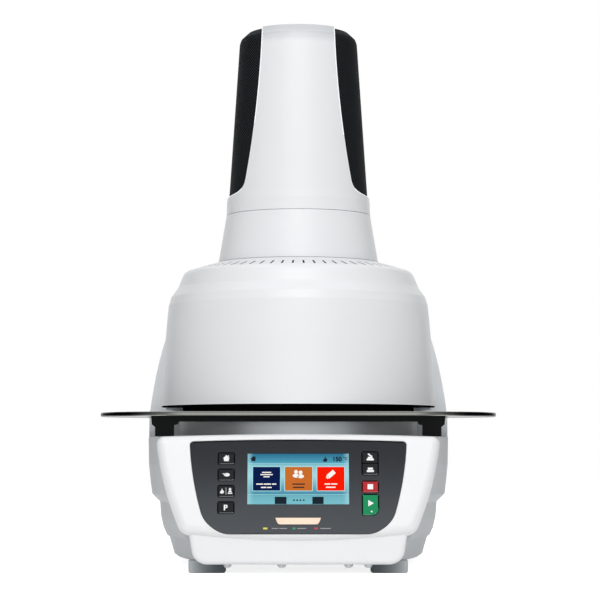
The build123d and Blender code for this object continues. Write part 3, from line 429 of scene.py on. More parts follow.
class Finishes(Enum):
    """Every finish of the furnace."""

    # powder-coated sheet: faint orange peel that softens the highlights
    ENAMEL = Finish("powder_coated_steel", "#e9ebed", 0.36, grain_mm=2.2, grain_depth_mm=0.012, mottle=0.008)
    # the same coat, greyer towards the cover's rolled top as painted shade
    COVER = Finish("powder_coated_cover", "#e9ebed", 0.36, grain_mm=2.2, grain_depth_mm=0.012, mottle=0.008,
                   far_colour="#c6c9cd", near_mm=541.0, far_mm=557.0)
    # moulded ABS: bright and finely satin
    BEZEL = Finish("moulded_white_abs", "#edeeef", 0.38, grain_mm=1.3, grain_depth_mm=0.01, mottle=0.006)
    # moulded ABS with a spark-eroded grain that kills the gloss, painted darker towards its foot as shade
    HOUSING = Finish("moulded_grey_abs", "#bfc3c6", 0.52, grain_mm=1.1, grain_depth_mm=0.03, mottle=0.015,
                     far_colour="#d6d9dc", near_mm=85.0, far_mm=185.0)
    # expanded steel, painted: strands that catch a little light over gaps painted near-black as painted shade
    # of the hollow behind
    MESH = SleeveMesh("black_expanded_mesh", "#33373a", 0.6, grain_depth_mm=0.25, specular=0.06)
    # stoved enamel on bent steel: deep black with a low sheen
    BLACK_ENAMEL = Finish("black_stove_enamel", "#0a0b0c", 0.4, grain_mm=1.8, grain_depth_mm=0.02,
                          specular=0.08)
    # textured polyester film over the panel: matt with a fine sparkle; painted reflection leaves it lighter
    # at its foot and darker towards its top
    FILM = Speckled("printed_polyester_film", "#4c5054", 0.55, grain_mm=1.4, grain_depth_mm=0.03,
                    speckle=0.10, specular=0.16, far_colour="#272a2f", near_mm=35.0, far_mm=125.0)
    # moulded thermoplastic: dark and satin, so that the signs stand out
    KEY = Speckled("moulded_key_plastic", "#1d2023", 0.45, grain_mm=1.2, grain_depth_mm=0.02, speckle=0.08,
                   specular=0.1)
    # sheet steel blackened by heat: no gloss left even at a glance along it
    SCALED = Finish("heat_scaled_steel", "#121313", 0.9, grain_mm=1.8, grain_depth_mm=0.03, specular=0.0)
    # thermoplastic coloured right through: even and satin
    STOP = Finish("red_key_plastic", "#b2282e", 0.4, mottle=0.06, mottle_mm=8.0, specular=0.12)
    START = Finish("green_key_plastic", "#108a58", 0.4, mottle=0.06, mottle_mm=8.0, specular=0.12)
    # liquid crystal display, lit from behind: its own colours and hardly a reflection
    SCREEN = ScreenPicture("lit_colour_display", "#6aaebb", 0.3, grain_depth_mm=0.001, specular=0.02)
    # milky polycarbonate over lamps: warm and even, a little deeper at its ends
    LENS = Finish("diffusing_polycarbonate", "#f6e0c8", 0.35, glow=0.05, grain_depth_mm=0.005, specular=0.2,
                  far_colour="#f6dac4", axis="X", near_mm=8.0, far_mm=22.0)
    # stainless sheet, ground lengthwise: soft, streaked reflections, with a dark reflection painted on its
    # rim and ends
    TRAY = TrayMetal("ground_stainless_steel", "#92938e", 0.3, metallic=1.0, grain_depth_mm=0.03)
    # turned and ground steel: a clear gleam
    BRIGHT = Brushed("turned_bright_steel", "#b9babb", 0.25, metallic=1.0, grain_depth_mm=0.01)
    # aluminium cast in sand: dull metal with a pebbled skin
    CAST = Finish("sand_cast_aluminium", "#a5a7a9", 0.5, metallic=1.0, grain_mm=1.6, grain_depth_mm=0.08)
    # ceramic fibre sucked on to a former: chalky and soft
    FIBRE = Speckled("vacuum_formed_fibre", "#ece8dd", 0.9, sheen=0.2, grain_mm=2.6, grain_depth_mm=0.25,
                     speckle=0.05)
    # pressed and fired oxide: pale and matt, like an unglazed cup
    CERAMIC = Finish("fired_ceramic", "#ece9df", 0.6, grain_mm=1.5, grain_depth_mm=0.03, mottle=0.04,
                     mottle_mm=12.0)
    # fused quartz, clouded by bubbles: pale under a glassy skin
    QUARTZ = Finish("milky_quartz", "#dedcd6", 0.35, coat=0.3, mottle=0.05, mottle_mm=15.0)
    # resistance wire after many firings: brown scale on dull metal
    WIRE = Finish("oxidised_heating_wire", "#5b4f48", 0.6, metallic=0.8, mottle=0.25, mottle_mm=6.0)
    # moulded silicone rubber: flat red with a slight sheen
    SILICONE = Finish("red_silicone", "#a3352a", 0.55, mottle=0.05, mottle_mm=10.0)
    # moulded rubber: dull; paler towards its outer sides as painted light, darker inwards as painted shade
    # under the body
    RUBBER = Finish("moulded_rubber", "#555c5f", 0.7, grain_mm=1.6, grain_depth_mm=0.05, mottle=0.06,
                    far_colour="#b6bbbe", axis="X", near_mm=74.0, far_mm=112.0)
    # satin paint on spun steel: a painted highlight in its middle, greyer round its sides as painted shade
    DRUM = Finish("grey_painted_drum", "#e3e7ea", 0.42, grain_mm=1.8, grain_depth_mm=0.02,
                  far_colour="#b6babd", axis="X", near_mm=40.0, far_mm=72.0)
    # zinc-plated sheet: grey metal, softly clouded
    MODULE = Finish("zinc_plated_frame", "#9a9c9f", 0.4, metallic=0.9, mottle=0.05)
    # solder mask on glass fibre: green under a lacquer's shine
    BOARD = Speckled("green_circuit_board", "#1f5a33", 0.4, coat=0.4, grain_mm=2.0, speckle=0.25)
    # black paint on steel cases: low gloss over a coarse skin
    MOTOR = Finish("black_painted_motor", "#232426", 0.45, grain_mm=1.5, grain_depth_mm=0.04)
    # thinly painted aluminium sheet that keeps its brushed lines
    PLATE = Brushed("painted_connector_plate", "#9b9ea1", 0.45, metallic=0.6)
    # glass-filled nylon: black and dull
    PORT = Finish("black_connector_nylon", "#1c1d1f", 0.45, grain_mm=1.0, grain_depth_mm=0.02, mottle=0.08)
    # nickel-plated steel: bright with drawn lines
    SHELL = Brushed("plated_connector_shell", "#c2c4c6", 0.25, metallic=1.0)
    # nickelled brass: smooth, warm metal
    BRASS = Finish("nickelled_brass", "#b9ae8c", 0.3, metallic=1.0, mottle=0.05, mottle_mm=10.0)
    # zinc-plated steel: pale metal with short scratches
    SCREW = Brushed("zinc_plated_screws", "#b4b6b8", 0.35, metallic=1.0, scratch_length_mm=6.0)
    # pad print on the keys: flat white
    PRINT = Ink("white_pad_print", "#f0f1f2", mottle=0.03, mottle_mm=3.0, grain_depth_mm=0.005)
    YELLOW_MARK = Ink("yellow_print", "#e8d64a")
    GREEN_MARK = Ink("green_print", "#2f9a66")
    RED_MARK = Ink("red_print", "#b5354a")
    GREY_MARK = Ink("grey_print", "#9da0a3")
    # pixels of the display: flat colours that the glass keeps from shining
    DARK_PIXELS = Pixels("dark_screen_pixels", "#17252f", mottle=0.08, mottle_mm=3.0, specular=0.02)
    NAVY = Pixels("navy_screen_tile", "#0d1c4a", mottle=0.10)
    ORANGE = Pixels("orange_screen_tile", "#c66a28", mottle=0.06, specular=0.02)
    RED = Pixels("red_screen_tile", "#f41a04")
    WHITE_PIXELS = Pixels("white_screen_pixels", "#f6f2ea", mottle=0.03, mottle_mm=3.0, grain_depth_mm=0.02,
                          specular=0.1)
    TILE_BORDER = Pixels("pale_screen_pixels", "#a9e3ec", mottle=0.03, mottle_mm=3.0, grain_depth_mm=0.02,
                         specular=0.1)
    # cut edge of the cover: a bright line that glows, a painted highlight
    EDGE_HIGHLIGHT = Finish("painted_highlight_cover_edge", "#fafbfb", 0.3, glow=0.22, grain_depth_mm=0.005, mottle=0.01)
    # gap that no light reaches: black and matt
    GAP = Finish("shadow_gap_black", "#08090a", 0.8, mottle=0.1, mottle_mm=5.0, specular=0.05)
    # felt on card, which swallows light
    CARD = Finish("black_felt_card", "#0c0c0d", 0.9, mottle=0.1, specular=0.05)
    # pale glint painted along the key's edge: a painted highlight
    EDGE_LIGHT = Finish("painted_key_edge_glint", "#84888c", 0.4, mottle=0.05, mottle_mm=3.0, specular=0.2)
    # the neck's joint: a soft dull grey line, painted shade of the seam
    JOINT = Finish("painted_joint_shade", "#95989b", 0.7, mottle=0.04, mottle_mm=20.0, specular=0.2)


class Palette:
    """Materials of the furnace, each built once when it is first asked for."""

    def __init__(self) -> None:
        """Start with no material built."""
        self.made: dict[Finishes, bpy.types.Material] = {}

    def of(self, finish: Finishes) -> bpy.types.Material:
        """Give the material of a finish.

        Args:
            finish: The finish that is asked for.

        Returns:
            Its material.
        """
        if finish not in self.made:
            self.made[finish] = finish.value.material()
        return self.made[finish]


NODE_FINISHES: dict[Finishes, tuple[str, ...]] = {
    Finishes.ENAMEL: ("head_shell", "neck_cone"),
    Finishes.COVER: ("tower_cover",),
    Finishes.BEZEL: ("front_fascia",),
    Finishes.HOUSING: ("rear_housing", "bottom_pan"),
    Finishes.MESH: ("tower_sleeve",),
    Finishes.BLACK_ENAMEL: ("tray_holder",),
    Finishes.SCALED: ("head_bottom_plate",),
    Finishes.FILM: ("control_panel",),
    Finishes.SCREEN: ("display_screen",),
    Finishes.KEY: ("key_home", "key_programs", "key_heating", "key_options", "key_open_head",
                   "key_close_head"),
    Finishes.STOP: ("key_stop",),
    Finishes.START: ("key_start",),
    Finishes.LENS: ("status_light_lens",),
    Finishes.TRAY: ("cooling_tray", "seal_plate"),
    Finishes.BRIGHT: ("hinge_pin", "guide_rods", "press_screw", "press_rod"),
    Finishes.SCREW: ("holder_screws", "pan_screws"),
    Finishes.CAST: ("hinge_arm", "hinge_bracket_left", "hinge_bracket_right", "press_plate", "motor_plate",
                    "press_crosshead"),
    Finishes.FIBRE: ("base_insulation", "head_insulation"),
    Finishes.CERAMIC: ("firing_table", "press_plunger", "thermocouple"),
    Finishes.QUARTZ: ("firing_muffle",),
    Finishes.WIRE: ("heating_coil",),
    Finishes.SILICONE: ("seal_ring",),
    Finishes.RUBBER: ("rubber_feet",),
    Finishes.DRUM: ("firing_base",),
    Finishes.MODULE: ("display_module",),
    Finishes.BOARD: ("key_board", "power_board"),
    Finishes.MOTOR: ("press_motor", "lift_drive", "mains_transformer"),
    Finishes.PLATE: ("rear_panel",),
    Finishes.PORT: ("mains_inlet", "pump_outlet", "fuse_holders", "switch_frame", "switch_rocker"),
    Finishes.SHELL: ("usb_port",),
    Finishes.BRASS: ("vacuum_nipple", "vacuum_valve"),
}


def dress_nodes(palette: Palette) -> None:
    """Give every construction node its finish.

    Args:
        palette: Source of the materials.
    """
    for finish, names in NODE_FINISHES.items():
        for name in names:
            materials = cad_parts[name].data.materials
            materials.clear()
            materials.append(palette.of(finish))
        log.info("%s on %s", finish.value.name, ", ".join(names))


# ---- pieces
def link_mesh(mesh: bmesh.types.BMesh, name: str, material: bpy.types.Material) -> bpy.types.Object:
    """Put a bmesh into the scene.

    Args:
        mesh: Geometry already in its place, in metres; it is freed.
        name: Name of the object and of its mesh.
        material: Its material.

    Returns:
        The new object.
    """
    data = bpy.data.meshes.new(name)
    mesh.to_mesh(data)
    mesh.free()
    data.materials.append(material)
    made = bpy.data.objects.new(name, data)
    bpy.context.scene.collection.objects.link(made)
    return made


def finish_piece(mesh: bmesh.types.BMesh, name: str, material: bpy.types.Material, body: str) -> None:
    """Turn a bmesh into a finished piece on a body.

    Args:
        mesh: Geometry already in its place, in metres; it is freed.
        name: Name of the piece.
        material: Its material.
        body: Body that it rides on.
    """
    bmesh.ops.recalc_face_normals(mesh, faces=mesh.faces)
    piece = link_mesh(mesh, name, material)
    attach(piece, body)
    log.info("%s: %d faces on %s", name, len(piece.data.polygons), body)


def turned_piece(name: str, profile: tuple[Pair, ...], material: bpy.types.Material,
                 turn_deg: float = 360.0) -> None:
    """Turn a closed profile round the head's axis and let the piece ride on the head.

    Args:
        name: Name of the piece.
        profile: Corners (radius, z) in millimetres, in order.
        material: Its material.
        turn_deg: How far round it goes, half of it to each side of the front.
    """
    angle = math.radians(turn_deg)
    mesh = bmesh.new()
    start = -math.pi / 2 - angle / 2
    corners = [mesh.verts.new((radius * MM * math.cos(start), HEAD_Y + radius * MM * math.sin(start), z * MM))
               for radius, z in profile]
    sides = [mesh.edges.new((a, b)) for a, b in zip(corners, corners[1:] + corners[:1])]
    bmesh.ops.spin(mesh, geom=corners + sides, cent=(0, HEAD_Y, 0), axis=(0, 0, 1), angle=angle,
                   steps=TURN_STEPS, use_merge=True)
    bmesh.ops.holes_fill(mesh, edges=[edge for edge in mesh.edges if edge.is_boundary])
    finish_piece(mesh, name, material, "head")


def rounded(u: float, v: float, width: float, height: float, radii: tuple[float, ...],
            steps: int = 5) -> list[Pair]:
    """Outline a rounded rectangle.

    Args:
        u: Its middle, to the right.
        v: Its middle, up.
        width: Its width.
        height: Its height.
        radii: Corner radii from the lower left, counter-clockwise.
        steps: Segments in each corner.

    Returns:
        Its corners, counter-clockwise.
    """
    points = []
    for i, ((right, up), radius) in enumerate(zip(((-1, -1), (1, -1), (1, 1), (-1, 1)), radii)):
        for step in range(steps + 1):
            turn = math.radians(180 + 90 * (i + step / steps))
            points.append((u + right * (width / 2 - radius) + radius * math.cos(turn),
                           v + up * (height / 2 - radius) + radius * math.sin(turn)))
    return points


@dataclass
class Artwork:
    """Flat raised shapes on a plane, collected in one mesh before they are placed."""

    thickness_mm: float = 0.12
    mesh: bmesh.types.BMesh = field(default_factory=bmesh.new)
    figure_share: float = 0.7  # height of a figure as a share of the font's size

    def outline(self, points: list[Pair]) -> None:
        """Add a flat shape.

        Args:
            points: Corners (u, v) in millimetres, in order.
        """
        corners = [self.mesh.verts.new((u * MM, v * MM, 0)) for u, v in points]
        self.raise_faces([self.mesh.faces.new(corners)])

    def ring(self, inner: list[Pair], outer: list[Pair]) -> None:
        """Add the band between two closed lines with as many corners each."""
        near, far = ([self.mesh.verts.new((u * MM, v * MM, 0)) for u, v in line] for line in (inner, outer))
        self.raise_faces([self.mesh.faces.new((near[i - 1], far[i - 1], far[i], near[i]))
                          for i in range(len(near))])

    def raise_faces(self, faces: list[bmesh.types.BMFace]) -> None:
        """Extrude flat faces together to the artwork's thickness.

        Args:
            faces: Faces on the plane.
        """
        grown = bmesh.ops.extrude_face_region(self.mesh, geom=faces, use_keep_orig=True)
        top = [g for g in grown["geom"] if isinstance(g, bmesh.types.BMVert)]
        bmesh.ops.translate(self.mesh, verts=top, vec=(0, 0, self.thickness_mm * MM))

    def disc(self, u: float, v: float, radius: float, segments: int = 20, squash: float = 1.0) -> None:
        """Add a disc or an ellipse.

        Args:
            u: Its middle, to the right.
            v: Its middle, up.
            radius: Its radius, half of an ellipse's width.
            segments: Number of its corners.
            squash: Height of an ellipse as a share of its width.
        """
        before = set(self.mesh.faces)
        spot = Matrix.Translation((u * MM, v * MM, 0)) @ Matrix.Diagonal((1, squash, 1, 1))
        bmesh.ops.create_circle(self.mesh, cap_ends=True, radius=radius * MM, segments=segments, matrix=spot)
        self.raise_faces(list(set(self.mesh.faces) - before))

    def bar(self, u: float, v: float, width: float, height: float, turn_deg: float = 0.0,
            corner: float = 0.0) -> None:
        """Add a bar.

        Args:
            u: Its middle, to the right.
            v: Its middle, up.
            width: Its width.
            height: Its height.
            turn_deg: Its turn about its middle.
            corner: Radius of its corners.
        """
        before = set(self.mesh.faces)
        spot = (Matrix.Translation((u * MM, v * MM, 0)) @ Matrix.Rotation(math.radians(turn_deg), 4, "Z")
                @ Matrix.Diagonal((width * MM, height * MM, 1, 1)))
        made = bmesh.ops.create_grid(self.mesh, x_segments=1, y_segments=1, size=0.5, matrix=spot)
        if corner:
            bmesh.ops.bevel(self.mesh, geom=made["verts"], offset=corner * MM, segments=4, profile=0.5,
                            affect="VERTICES", material=-1)
        self.raise_faces(list(set(self.mesh.faces) - before))

    def words(self, text: str, u: float, v: float, height: float, bold: float = 0.0) -> None:
        """Add upright figures or signs.

        Args:
            text: What they say.
            u: Their left end.
            v: Their foot.
            height: Height of a figure.
            bold: How much the strokes grow all round.
        """
        curve = bpy.data.curves.new("figures", "FONT")
        curve.body = text
        curve.size = height * MM / self.figure_share
        curve.extrude = self.thickness_mm * MM / 2
        curve.offset = bold * MM
        holder = bpy.data.objects.new("figures", curve)
        flat = bpy.data.meshes.new_from_object(holder)
        flat.transform(Matrix.Translation((u * MM, v * MM, self.thickness_mm * MM / 2)))
        self.mesh.from_mesh(flat)
        bpy.data.objects.remove(holder)
        bpy.data.curves.remove(curve)
        bpy.data.meshes.remove(flat)

    def house(self, u: float, v: float, size: float) -> None:
        """Add a small house: roof, walls and chimney.

        Args:
            u: Middle of its eaves, to the right.
            v: Its eaves, up.
            size: Width of its roof.
        """
        s = size / 2
        self.outline([(u - s, v), (u, v + s), (u + s, v)])
        wall, foot = 0.7 * s, v - 0.8 * s
        self.outline([(u - wall, v), (u - wall, foot), (u + wall, foot), (u + wall, v)])
        self.bar(u + 0.55 * s, v + 0.55 * s, 0.28 * s, 0.7 * s)

    def flame(self, u: float, v: float, size: float) -> None:
        """Add a flame with a curled tip.

        Args:
            u: Its middle, to the right.
            v: Its middle, up.
            size: Its height.
        """
        shape = [(0.0, -0.5), (0.28, -0.42), (0.4, -0.15), (0.3, 0.12), (0.18, 0.02), (0.12, 0.3),
                 (-0.06, 0.55), (-0.02, 0.2), (-0.24, 0.0), (-0.38, -0.22), (-0.26, -0.44)]
        self.outline([(u + size * a, v + size * b) for a, b in shape])

    def place(self, matrix: Matrix) -> bmesh.types.BMesh:
        """Move the artwork to its plane.

        Args:
            matrix: From the plane's (u, v, w) in metres to the frame.

        Returns:
            The placed mesh.
        """
        bmesh.ops.transform(self.mesh, matrix=matrix, verts=self.mesh.verts)
        return self.mesh


@dataclass(frozen=True)
class Key:
    """The cap of a key: its side of the screen, its place up the panel and its size."""

    name: str
    side: int  # -1 to the left of the screen, 1 to its right
    v_mm: float
    height_mm: float = 11.4
    corner_mm: float = 1.4  # radius of its lower right corner


@dataclass
class ControlPanel:
    """Printed and lit details of the operating panel."""

    palette: Palette
    panel_drop_mm: float = 0.8  # the film lies this far behind the bezel
    key_proud_mm: float = 0.3  # and the keys stand this far out of the film
    screen_drop_mm: float = 1.1
    key_u_mm: float = 70.1
    key_width_mm: float = 15.6
    key_corner_mm: float = 1.4
    opening_corner_mm: float = 1.6
    head_keys_mm: Pair = (71.6, 23.2)  # middle and height of the opening that the two head keys share
    keys: tuple[Key, ...] = (
        Key("key_home", -1, 76.4), Key("key_programs", -1, 59.9), Key("key_heating", -1, 43.4),
        Key("key_options", -1, 26.9), Key("key_open_head", 1, 77.6, 11.2),
        Key("key_close_head", 1, 65.6, 11.2), Key("key_stop", 1, 47.8), Key("key_start", 1, 29.6, 20.8, 7.0))
    tiles: tuple[tuple[str, float, Finishes], ...] = (
        ("screen_tile_left", -30.8, Finishes.NAVY), ("screen_tile_middle", 0.4, Finishes.ORANGE),
        ("screen_tile_right", 31.7, Finishes.RED))
    tile_mm: Triple = (56.0, 26.5, 24.0)  # middle up the panel, width and height
    legend_v_mm: float = 6.1
    marks: tuple[tuple[str, float, float, Finishes], ...] = (
        ("legend_mark_left", -31.8, 4.2, Finishes.YELLOW_MARK),
        ("legend_mark_middle", -4.1, 2.8, Finishes.GREEN_MARK),
        ("legend_mark_right", 17.2, 3.9, Finishes.RED_MARK))

    def plane(self, lift_mm: float) -> Matrix:
        """Set up the panel's plane.

        Args:
            lift_mm: Height above the bezel's face; negative lies behind it.

        Returns:
            Matrix from (u, v, w) in metres to the frame.
        """
        axes = Matrix((Vector((1, 0, 0)), PANEL_UP, PANEL_OUT)).transposed().to_4x4()
        return Matrix.Translation(PANEL_FOOT + PANEL_OUT * lift_mm * MM) @ axes

    def print_piece(self, art: Artwork, name: str, finish: Finishes, lift_mm: float,
                    body: str = "base") -> None:
        """Place one artwork on the panel and finish it."""
        finish_piece(art.place(self.plane(lift_mm)), name, self.palette.of(finish), body)

    def key_signs(self) -> None:
        """Print the sign of every key."""
        lift = self.key_proud_mm - self.panel_drop_mm
        u = self.key_u_mm
        home, programs, heating, options = (key.v_mm for key in self.keys[:4])
        signs: dict[str, Artwork] = {}
        art = signs["key_home"] = Artwork()
        art.house(-u, home, 6.8)
        art = signs["key_programs"] = Artwork()
        art.disc(-u + 0.6, programs, 2.9, squash=0.6)
        art.outline([(-u - 4.0, programs + 1.3), (-u - 0.8, programs + 1.3), (-u + 0.4, programs - 0.2),
                     (-u - 1.4, programs - 0.4)])
        art = signs["key_heating"] = Artwork()
        art.flame(-u - 4.0, heating, 5.2)
        art.bar(-u, heating, 0.3, 7.0)
        art.bar(-u + 3.9, heating - 2.2, 4.4, 1.1)
        art.bar(-u + 3.9, heating - 0.3, 2.9, 1.6)
        art.disc(-u + 3.9, heating + 1.9, 1.2)
        art = signs["key_options"] = Artwork()
        art.words("P", -u - 2.2, options - 2.6, 5.2, bold=0.28)
        art = signs["key_open_head"] = Artwork()
        art.bar(u + 0.2, 75.4, 7.0, 2.0, corner=0.5)
        art.bar(u + 0.2, 77.3, 4.6, 1.7)
        art.bar(u + 0.0, 79.6, 4.8, 1.5, turn_deg=-38)
        art = signs["key_close_head"] = Artwork()
        art.bar(u + 0.2, 63.6, 7.0, 2.0, corner=0.5)
        art.bar(u + 0.2, 66.0, 5.0, 2.2, corner=0.4)
        art = signs["key_stop"] = Artwork()
        art.bar(u, 47.8, 5.4, 5.2, corner=0.3)
        art = signs["key_start"] = Artwork()
        art.outline([(u - 2.2, 34.4), (u + 3.2, 31.2), (u - 2.2, 28.0)])
        art.disc(u + 1.0, 22.9, 0.9)
        for key, sign in signs.items():
            self.print_piece(sign, f"{key}_sign", Finishes.PRINT, lift, body=key)

    def screen_tiles(self) -> None:
        """Build the three selection tiles with plain pictures and placeholder lines."""
        lift, border, corner = -self.screen_drop_mm, 0.6, 0.3
        v, width, height = self.tile_mm
        borders = Artwork(FILM_MM)
        for name, u, finish in self.tiles:
            tile = Artwork(TILE_MM)
            tile.bar(u, v, width, height, corner=corner)
            self.print_piece(tile, name, finish, lift)
            borders.ring(rounded(u, v, width, height, (corner,) * 4),
                         rounded(u, v, width + 2 * border, height + 2 * border, (2 * corner,) * 4))
        for v in (40.1, 71.6):
            borders.bar(0.0, v, 98.0, 0.4)
        self.print_piece(borders, "screen_tile_borders", Finishes.TILE_BORDER, lift)
        self.screen_pictures()
        self.screen_signs()

    def screen_pictures(self) -> None:
        """Draw the tiles' pictures and their placeholder lines in white."""
        white = Artwork()
        for v, width in ((62.4, 9.0), (60.2, 12.0), (58.0, 6.0)):
            white.bar(-30.8, v, width, 1.1)
        for u, v in ((-2.1, 63.0), (2.3, 62.4)):
            white.disc(u, v, 1.9)
            white.disc(u, v - 3.9, 3.3, squash=0.6)
        white.bar(32.0, 60.6, 8.6, 4.4, turn_deg=42, corner=0.5)
        white.bar(28.6, 57.5, 2.2, 2.6, turn_deg=42)
        for u, v, width in ((-37.6, 50.6, 6.4), (-30.0, 50.6, 7.2), (-23.4, 50.6, 4.2), (-33.6, 47.2, 5.2),
                            (-28.0, 47.2, 4.6), (28.4, 50.7, 5.6), (35.0, 50.7, 6.0), (31.6, 47.4, 9.4)):
            white.bar(u, v, width, 1.2, corner=0.3)
        self.print_piece(white, "screen_marks_white", Finishes.WHITE_PIXELS, -self.screen_drop_mm)

    def screen_signs(self) -> None:
        """Draw the dark lines, the status bar's signs and the two soft keys."""
        dark = Artwork()
        for v, width in ((50.6, 12.4), (47.3, 11.0)):
            dark.bar(0.4, v, width, 1.2, corner=0.3)
        dark.house(-43.8, 76.2, 5.8)
        dark.flame(26.3, 75.9, 5.6)
        dark.words("150", 33.4, 73.9, 4.2, bold=0.24)
        dark.words("°C", 44.0, 75.2, 2.8, bold=0.08)
        dark.bar(-17.0, 34.2, 11.4, 7.2)
        dark.bar(19.2, 34.2, 10.9, 7.2)
        for i in range(4):
            dark.disc(-4.2 + 3.2 * i, 34.4, 0.85, segments=12)
        self.print_piece(dark, "screen_marks_dark", Finishes.DARK_PIXELS, -self.screen_drop_mm)

    def key_gaps(self) -> None:
        """Line each key's opening with its dark shadow gap."""
        slit, line, corner = 0.3, 0.4, self.opening_corner_mm
        openings = [(key.side, key.v_mm, key.height_mm, max(corner, key.corner_mm))
                    for key in self.keys if "head" not in key.name]
        openings.insert(4, (1, *self.head_keys_mm, corner))
        dark = Artwork(FILM_MM)
        for side, v, height, bend in openings:
            u, wide, high = side * self.key_u_mm, self.key_width_mm + 2 * slit, height + 2 * slit
            radii = (corner, bend, corner, corner)
            dark.ring(rounded(u, v, wide, high, tuple(r + slit for r in radii)),
                      rounded(u, v, wide + 2 * line, high + 2 * line, tuple(r + slit + line for r in radii)))
        self.print_piece(dark, "key_shadow_lines", Finishes.GAP, -self.panel_drop_mm)

    def key_rims(self) -> None:
        """Draw each cap's rounded rim: painted shade above and beside it, a painted highlight along its foot.
        """
        lift, line, corner = self.key_proud_mm - self.panel_drop_mm, 0.6, self.key_corner_mm
        half, inside = self.key_width_mm / 2, self.key_width_mm / 2 - line / 2
        for key in self.keys:
            u, v, low = key.side * self.key_u_mm, key.v_mm, key.corner_mm
            dark, light = Artwork(FILM_MM), Artwork(FILM_MM)
            if key.name != "key_close_head":
                dark.bar(u, v + key.height_mm / 2 - line / 2, 2 * (half - corner), line)
            dark.bar(u - inside, v, line, key.height_mm - 2 * corner)
            dark.bar(u + inside, v + (low - corner) / 2, line, key.height_mm - corner - low)
            self.print_piece(dark, f"{key.name}_rim", Finishes.GAP, lift, body=key.name)
            if key.name != "key_open_head":
                foot = v - key.height_mm / 2
                light.bar(u - (low - corner) / 2, foot + 0.3, 2 * half - corner - low, 0.4)
                light.disc(u + half - 0.4 * low - 0.5, foot + 0.25 * low + 0.35, 0.45, segments=10)
                self.print_piece(light, f"{key.name}_foot_glint", Finishes.EDGE_LIGHT, lift, body=key.name)

    def panel_edge(self) -> None:
        """Draw the shadow of the bezel along the panel's bowed top."""
        half, crown, line = 103.0, 2.0, 0.9
        steps = [half * (i / 20 - 1) for i in range(41)]
        arc = [(u, 93.4 + crown * (1 - (u / 106) ** 2)) for u in steps]
        art = Artwork(FILM_MM)
        art.outline([*reversed(arc), *((u, v - line) for u, v in arc)])
        self.print_piece(art, "panel_top_shadow", Finishes.GAP, -self.panel_drop_mm)

    def legend(self) -> None:
        """Print the three coloured marks and the plain lines beside them."""
        lift = -self.panel_drop_mm
        for name, u, width, finish in self.marks:
            mark = Artwork(TILE_MM)
            mark.bar(u, self.legend_v_mm, width, 1.7, corner=0.3)
            self.print_piece(mark, name, finish, lift)
        lines = Artwork(TILE_MM)
        for u, width in ((-22.5, 6.0), (-14.6, 7.6), (3.4, 8.6), (26.4, 10.4)):
            lines.bar(u, self.legend_v_mm, width, 0.7)
        self.print_piece(lines, "legend_lines", Finishes.GREY_MARK, lift)

    def build(self) -> None:
        """Build every detail of the panel."""
        self.panel_edge()
        self.key_gaps()
        self.key_rims()
        self.key_signs()
        self.screen_tiles()
        self.legend()


